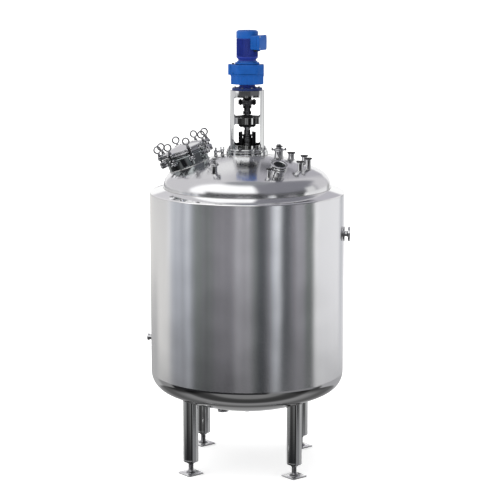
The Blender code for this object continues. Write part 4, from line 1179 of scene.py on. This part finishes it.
def casting(name, colour, rough, peel=0.0003, shine=0.20, dust=0.07):
    """Painted or oiled cast iron: a coarse skin, with the dust of use on what faces up."""
    made, shader = material(name, Specular_IOR_Level=shine)
    tree = made.node_tree
    worn = node(tree, "ShaderNodeGroup", node_tree=CAST_SKIN)
    for key, value in (("Paint", rgba(colour)), ("Base Roughness", rough), ("Dust", dust)):
        worn.inputs[key].default_value = value
    feed(tree, shader.inputs["Base Color"], worn.outputs["Colour"])
    feed(tree, shader.inputs["Roughness"], worn.outputs["Roughness"])
    feed(tree, shader.inputs["Normal"], bumped(tree, worn.outputs["Height"], 0.6, peel))
    return made


dark_casting = casting("dark_casting", (0.012, 0.012, 0.013), 0.45, 0.0004, 0.04, 0.02)
housing_low, housing_high = [corner.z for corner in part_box("bearing_housing")]
shaft_bore = SHAFT_R + CLEAR
housing_line = [(shaft_bore, housing_low), (HUB_R - 0.006, housing_low), (HUB_R, housing_low + 0.006),
                (HUB_R, PLATE_LOW - 0.006), (HUB_R + 0.008, PLATE_LOW), (inside - CLEAR, PLATE_LOW),
                (inside - CLEAR, PLATE_TOP), (COVER_R + 0.004, PLATE_TOP), (COVER_R, PLATE_TOP + 0.004),
                (0.040, housing_high - 0.004), (0.034, housing_high), (shaft_bore, housing_high)]
cover_screws = ring_of_heads(HOUSING_SCREWS, 0.086, 0, 0.013, PLATE_TOP - 0.001, PLATE_TOP + 0.008,
                             cut_thread)
hub_screw = place(hexagon(0.010, -0.001, 0.006, cut_thread), at(0, 0, housing_low) @ rolled(pi, "X"))
housing = joined("bearing_carrier", turn("housing", soft(housing_line, 0.0015), dark_casting, 96),
                 *cover_screws, *round_z(hub_screw, HOUSING_SCREWS, 0.044))
fit(housing, "dark_steel", "bearing_housing")

# The shaft seal: a turned cartridge bolted down over the pad's hole, between the two
# upright cheeks of a yoke, with a drive collar clamped to the shaft above it.
SEAL_FOOT_R = 0.100
SEAL_BODY_R = 0.036
COLLAR_IN = 0.031
COLLAR_OUT = 0.034
SLEEVE_R = 0.023
YOKE_IN = 0.040
YOKE_OUT = 0.062
YOKE_TOP = 2.433
OPEN_HALF = 0.034
SEAL_SCREWS = 8
seal_low, seal_high = [corner.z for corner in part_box("shaft_seal")]
flange_top = seal_low + 0.014
seal_line = [(shaft_bore, seal_low), (SEAL_FOOT_R, seal_low), (SEAL_FOOT_R, flange_top),
             (SEAL_BODY_R + 0.003, flange_top), (SEAL_BODY_R, flange_top + 0.004), (SEAL_BODY_R, 2.352),
             (0.033, 2.354), (0.033, 2.358), (SEAL_BODY_R, 2.360), (SEAL_BODY_R, 2.388), (COLLAR_IN, 2.392),
             (COLLAR_IN, 2.404), (COLLAR_OUT, 2.406), (COLLAR_OUT, 2.416), (SLEEVE_R, 2.418),
             (SLEEVE_R, seal_high), (shaft_bore, seal_high)]
yoke_low = flange_top - 0.002
yoke_line = [(YOKE_IN, yoke_low), (YOKE_OUT, yoke_low), (YOKE_OUT, YOKE_TOP), (YOKE_IN, YOKE_TOP)]
yoke = turn("yoke", soft(yoke_line, 0.0015), dark_casting, 80)
window = slab("window", frame_of(OPEN_HALF, 0.1), flange_top + 0.010, YOKE_TOP + 0.05, 0, dark_casting)
cut(yoke, window)
seal_screws = ring_of_heads(SEAL_SCREWS, 0.084, pi / SEAL_SCREWS, 0.014, flange_top - 0.001,
                            flange_top + 0.009, cut_thread)
seal_steel = steel("seal_steel", (0.20, 0.20, 0.205), 0.42, 0.08, 0.08, (60, 300, 60))
seal = joined("seal_cartridge", turn("seal", soft(seal_line, 0.001, 2), seal_steel, 80), yoke,
              *seal_screws)
fit(seal, "dark_steel", "shaft_seal")

# The shaft and its coupling: a ground stainless shaft from the gear unit down into the
# vessel, a lock nut over the bearing, and two flanges keyed on and bolted together.
LOCK_NUT_R = 0.030
LOCK_NUT_TOP = 2.582
COUPLING_HUB_R = 0.031
COUPLING_HUB_LOW = 2.605
DISC_R = 0.0635
DISC_LOW = 2.633
DISC_HIGH = 2.661
COUPLING_BOLTS = 6
shaft_steel = steel("shaft_steel", (0.62, 0.62, 0.64), 0.16, 0.05, 0.08, (8, 900, 60), 0, 0.00001)
shaft_low, shaft_high = [corner.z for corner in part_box("agitator_shaft")]
shaft_line = [(0, shaft_low), (SHAFT_R - 0.002, shaft_low), (SHAFT_R, shaft_low + 0.002), (SHAFT_R, 1.30),
              (SHAFT_R, 1.90), (SHAFT_R, 2.40), (SHAFT_R, shaft_high - 0.002), (SHAFT_R - 0.002, shaft_high),
              (0, shaft_high)]
fit(turn("drive_shaft", shaft_line, shaft_steel, 56), "satin_steel", "agitator_shaft", body="rotor")
coupling_low, coupling_high = [corner.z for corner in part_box("coupling")]
disc_mid = (DISC_LOW + DISC_HIGH) / 2
coupling_line = [(shaft_bore, coupling_low), (LOCK_NUT_R, coupling_low), (LOCK_NUT_R, LOCK_NUT_TOP),
                 (SLEEVE_R, LOCK_NUT_TOP), (SLEEVE_R, COUPLING_HUB_LOW), (COUPLING_HUB_R, COUPLING_HUB_LOW),
                 (COUPLING_HUB_R, DISC_LOW), (DISC_R, DISC_LOW), (DISC_R, disc_mid - 0.0015),
                 (DISC_R - 0.004, disc_mid - 0.0013), (DISC_R - 0.004, disc_mid + 0.0013),
                 (DISC_R, disc_mid + 0.0015), (DISC_R, DISC_HIGH), (COUPLING_HUB_R, DISC_HIGH),
                 (COUPLING_HUB_R, coupling_high), (shaft_bore, coupling_high)]
coupling = turn("coupling_flanges", soft(coupling_line, 0.0008, 2), dark_steel, 80)
notch = cylinder(0.0035, coupling_low - 0.01, LOCK_NUT_TOP + 0.01, 16)
cut(coupling, *round_z(notch, 4, LOCK_NUT_R))
bolt_heads = ring_of_heads(COUPLING_BOLTS, 0.049, 0, 0.013, DISC_HIGH - 0.001, DISC_HIGH + 0.008,
                           cut_thread)
bolt_nut = place(hexagon(0.013, -0.001, 0.009, cut_thread), at(0, 0, DISC_LOW) @ rolled(pi, "X"))
coupling = joined("coupling_flanges", coupling, *bolt_heads, *round_z(bolt_nut, COUPLING_BOLTS, 0.049))
fit(coupling, "dark_steel", "coupling", body="rotor")

# The impeller, out of sight in the vessel: four blades pitched at 45 degrees, welded to a
# boss that is pinned to the shaft's end. The vessel's own wall is ground plate inside.
IMPELLER_Z = 0.965
BOSS_R = 0.036
BOSS_HALF = 0.035
BLADES = 4
BLADE_ROOT = 0.030
BLADE_HALF_WIDE = 0.040
BLADE_HALF_THICK = 0.004
blade_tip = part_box("impeller")[1].x
boss_line = [(shaft_bore, -BOSS_HALF), (BOSS_R, -BOSS_HALF), (BOSS_R, BOSS_HALF), (shaft_bore, BOSS_HALF)]
boss = turn("boss", soft([(r, IMPELLER_Z + z) for r, z in boss_line], 0.002), bright_steel, 64)
blade_edge = soft([(BLADE_ROOT, -BLADE_HALF_WIDE), (blade_tip, -BLADE_HALF_WIDE),
                   (blade_tip, BLADE_HALF_WIDE), (BLADE_ROOT, BLADE_HALF_WIDE)], 0.012, 6)
blade = place(slab("blade", blade_edge, -BLADE_HALF_THICK, BLADE_HALF_THICK, 0.0012, bright_steel),
              at(0, 0, IMPELLER_Z) @ rolled(radians(-45), "X"))
fit(joined("turbine", boss, *round_z(blade, BLADES)), "polished_steel", "impeller", body="rotor")
inner_plate = steel("inner_plate", (0.66, 0.66, 0.67), 0.28, 0.06, 0.10, (6, 300, 40))
for hidden in ("vessel_shell", "vessel_bottom"):
    coat(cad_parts[hidden], inner_plate)

# The adapter: a steel disc between the lantern's roof and the gear unit, turned to fit
# both, coloured dark blue and held down by eight screws.
ADAPTER_R = 0.108
ADAPTER_BORE = 0.026
adapter_dark_blue = casting("adapter_dark_blue", (0.010, 0.024, 0.11), 0.34)
disc_low, disc_high = [corner.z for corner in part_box("adapter_plate")]
plate_line = [(ADAPTER_BORE, disc_low), (ADAPTER_R, disc_low), (ADAPTER_R, disc_high),
              (ADAPTER_BORE, disc_high)]
adapter_screws = ring_of_heads(STUDS, 0.093, pi / STUDS, 0.013, disc_high - 0.001, disc_high + 0.0065,
                               cut_thread)
adapter = joined("adapter_disc", turn("disc", soft(plate_line, 0.0014), adapter_dark_blue, 96),
                 *adapter_screws)
fit(adapter, "satin_steel", "adapter_plate")

# The gear unit: a ribbed cast case on a round neck, and its cover, bolted on round the
# seam. It is sprayed blue after it is closed up, screws and all.
blue_paint = casting("blue_paint", (0.003, 0.072, 0.31), 0.30)
deep_blue = casting("deep_blue", (0.018, 0.036, 0.25), 0.34)
case_low, case_high = [corner.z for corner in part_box("gearbox_case")]
CASE_FLOOR = 2.776
CASE_NECK_R = 0.064
SHAFT_HOLE_TOP = 2.802
RIB_SPACING = 0.045
RIB_Y = 0.0955


def cornered(half_x, half_y, corner):
    """A rectangle with its corners cut off."""
    quarter = [(half_x, half_y - corner), (half_x - corner, half_y)]
    right = [(x, -y) for x, y in reversed(quarter)] + quarter
    return right + [(-x, y) for x, y in reversed(right)]


def block(half_x, half_y, corner, low, high, edge, steps=2, rounding=0.010):
    """A cast block with rounded corners, in the blue paint."""
    outline = soft(cornered(half_x, half_y, corner), rounding, 5)
    return slab("block", outline, low, high, edge, blue_paint, steps)


neck_line = [(0, case_low), (CASE_NECK_R, case_low), (CASE_NECK_R, case_low + 0.006),
             (0.056, case_low + 0.010), (0.058, CASE_FLOOR + 0.004), (0, CASE_FLOOR + 0.004)]
shaft_hole = cylinder(shaft_bore, case_low - 0.01, SHAFT_HOLE_TOP, 32)
case_neck = cut(turn("case_neck", neck_line, deep_blue, 72), shaft_hole)
case_parts = [block(0.116, 0.096, 0.050, CASE_FLOOR, case_high, 0.005, 4),
              block(0.1185, 0.0975, 0.0515, case_high - 0.009, case_high, 0.0015), case_neck]
rib_edge = soft(frame_of(0.003, 0.0018), 0.001, 2)
for y, heading in ((-RIB_Y, 0), (RIB_Y, pi)):
    for x in (RIB_SPACING, 0, -RIB_SPACING):
        rib = slab("rib", rib_edge, CASE_FLOOR + 0.008, case_high - 0.008, 0.0008, blue_paint)
        case_parts.append(place(rib, upright(x, y, 0, heading)))
fit(joined("gear_case", *case_parts), "blue_paint", "gearbox_case")

COVER_SCREWS = ((0.104, 0.030), (0.104, -0.030), (0.052, 0.088), (-0.052, 0.088), (0.052, -0.088),
                (-0.052, -0.088), (-0.104, 0.066), (-0.104, -0.066))
cover_low, cover_high = [corner.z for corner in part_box("gearbox_cover")]
lobe = block(0.068, 0.050, 0.014, cover_low, cover_high - 0.001, 0.005, 4, 0.006)
pad_line = [(0, cover_high - 0.004), (0.084, cover_high - 0.004), (0.082, cover_high), (0, cover_high)]
cover_parts = [block(0.119, 0.098, 0.052, cover_low, cover_high - 0.002, 0.006, 4),
               block(0.119, 0.098, 0.052, cover_low, cover_low + 0.010, 0.0015),
               place(lobe, at(-0.068, 0, 0)), turn("top_pad", pad_line, blue_paint, 72)]
for x, y in COVER_SCREWS:
    cover_parts.append(place(hexagon(0.011, cover_low + 0.009, cover_low + 0.0165, blue_paint), at(x, y, 0)))
plug = place(hexagon(0.017, 0, 0.008, cut_thread), at(0.030, 0.0965, cover_low + 0.040) @ across.inverted())
breather_line = [(0, 0), (0.007, 0), (0.007, 0.005), (0.009, 0.006), (0.009, 0.014), (0.006, 0.017),
                 (0, 0.017)]
breather = turn("breather", breather_line, cap_plastic, 24)
place(breather, at(-0.100, 0, cover_high - 0.010))
fit(joined("gear_cover", *cover_parts, plug, breather), "blue_paint", "gearbox_cover")

# The motor: a finned aluminium body on a flared bell with lugs, a pressed fan cowl over
# its top, and a terminal box on the right-hand front, all sprayed with the gear unit.
MOTOR_R = 0.077
CORE_R = 0.0695
BELL_R = 0.064
BELL_TOP = 2.950
FINS_LOW = 2.964
LUG_TOP = 2.930
FINS = 44
motor_low, motor_high = [corner.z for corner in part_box("motor_body")]
core_line = [(0, motor_low), (BELL_R, motor_low), (BELL_R, BELL_TOP), (MOTOR_R, FINS_LOW),
             (MOTOR_R, FINS_LOW + 0.008), (CORE_R, FINS_LOW + 0.010), (CORE_R, motor_high - 0.006),
             (MOTOR_R - 0.002, motor_high - 0.005), (MOTOR_R - 0.002, motor_high), (0, motor_high)]
fin_edge = [(CORE_R - 0.001, -0.0011), (MOTOR_R, -0.0008), (MOTOR_R, 0.0008), (CORE_R - 0.001, 0.0011)]
fin = slab("fin", fin_edge, FINS_LOW + 0.006, motor_high - 0.004, 0, deep_blue)
bell_ring = turn("bell_ring", [(0, LUG_TOP - 0.004), (0.078, LUG_TOP - 0.004), (0.070, LUG_TOP + 0.010),
                               (0, LUG_TOP + 0.010)], blue_paint, 72)
lug_screws = ring_of_heads(4, 0.0865, pi / 4, 0.0115, LUG_TOP - 0.001, LUG_TOP + 0.0075, blue_paint)
motor = joined("motor_frame", turn("core", core_line, deep_blue, 96),
               block(0.086, 0.086, 0.036, motor_low, LUG_TOP, 0.003, 3, 0.012), bell_ring,
               *round_z(fin, FINS, 0, pi / FINS), *lug_screws)
fit(motor, "blue_paint", "motor_body")

COWL_R = MOTOR_R + 0.001
COWL_SHEET = 0.0015
COWL_CHAMFER = 0.014
GRILLE_R = 0.052
GRILLE_DROP = 0.006
GRILLE_RINGS = (0.0465, 0.0380, 0.0295, 0.0210, 0.0125)
cowl_low, cowl_high = [corner.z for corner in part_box("fan_cowl")]
cowl_line = [(0, cowl_low + 0.002), (COWL_R - COWL_SHEET, cowl_low + 0.002), (COWL_R - COWL_SHEET, cowl_low),
             (COWL_R, cowl_low), (COWL_R, cowl_high - COWL_CHAMFER), (COWL_R - 0.003, cowl_high - 0.007),
             (COWL_R - COWL_CHAMFER, cowl_high - 0.001), (GRILLE_R + 0.002, cowl_high),
             (GRILLE_R, cowl_high - 0.001), (GRILLE_R, cowl_high - GRILLE_DROP),
             (0, cowl_high - GRILLE_DROP)]
cowl_parts = [turn("cowl", cowl_line, blue_paint, 96)]
for ring_r in GRILLE_RINGS:
    grille_line = [(ring_r - 0.0014, cowl_high - 0.0034), (ring_r + 0.0014, cowl_high - 0.0034),
                   (ring_r + 0.0014, cowl_high - 0.0006), (ring_r - 0.0014, cowl_high - 0.0006)]
    cowl_parts.append(turn("grille_ring", grille_line, blue_paint, 64))
boss_line = [(0, cowl_high - GRILLE_DROP), (0.006, cowl_high - GRILLE_DROP), (0.006, cowl_high - 0.0006),
             (0, cowl_high - 0.0006)]
spoke = slab("spoke", frame_of(GRILLE_R / 2, 0.0016), cowl_high - 0.005, cowl_high - 0.0012, 0.0004,
             blue_paint)
screw_line = [(0, 0), (0.0042, 0), (0.0036, 0.0018), (0.002, 0.0024), (0, 0.0024)]
cowl_screw = place(turn("cowl_screw", screw_line, blue_paint, 20),
                   at(COWL_R - 0.0008, 0, cowl_low + 0.012) @ rolled(pi / 2, "Y"))
cowl_parts += [turn("grille_boss", boss_line, blue_paint, 32), *round_z(spoke, 4, GRILLE_R / 2, pi / 8),
               *round_z(cowl_screw, 4, 0, pi / 4)]
fit(joined("fan_cowl_shell", *cowl_parts), "blue_paint", "fan_cowl")

BOX_HEADING = radians(-30)
BOX_IN, BOX_OUT = 0.050, 0.129
BOX_LOW, BOX_HIGH = 3.018, 3.124
BOX_HALF = 0.057
BOX_INSET = 0.003
LID_THICK = 0.020
CORNER_IN = 0.012
box_spot = upright(0, 0, 0, BOX_HEADING) @ rolled(pi / 2, "Y") @ rolled(pi / 2, "Z")
box_mid = (BOX_LOW + BOX_HIGH) / 2
box_tall = (BOX_HIGH - BOX_LOW) / 2
lid_low = BOX_OUT - LID_THICK
base_frame, lid_frame, screw_places = [
    [(x, y + box_mid) for x, y in frame_of(BOX_HALF - inset, box_tall - inset)]
    for inset in (BOX_INSET, 0, CORNER_IN)]
box_base = slab("box_base", soft(base_frame, 0.012, 6), BOX_IN, lid_low - 0.001, 0.002, blue_paint, 3)
cut(box_base, place(cylinder(COWL_R + CLEAR, 2.95, 3.2, 64), box_spot.inverted()))
box_lid = slab("box_lid", soft(lid_frame, 0.014, 6), lid_low, BOX_OUT, 0.004, blue_paint, 4)
box_parts = [box_base, box_lid]
screw_line = [(0, BOX_OUT - 0.001), (0.0052, BOX_OUT - 0.001), (0.0044, BOX_OUT + 0.0014),
              (0, BOX_OUT + 0.0014)]
for x, y in screw_places:
    box_parts.append(place(turn("corner_screw", screw_line, cut_thread, 20), at(x, y, 0)))
gland_line = [(0, 0), (0.013, 0), (0.013, 0.007), (0.010, 0.008), (0.010, 0.012), (0.007, 0.014), (0, 0.014)]
for x in (-0.024, 0.024):
    gland = turn("gland_plug", gland_line, cap_plastic, 32)
    box_parts.append(place(gland, at(x, BOX_LOW + 0.003, 0.080) @ across))
fit(place(joined("terminal_box_shell", *box_parts), box_spot), "blue_paint", "terminal_box")
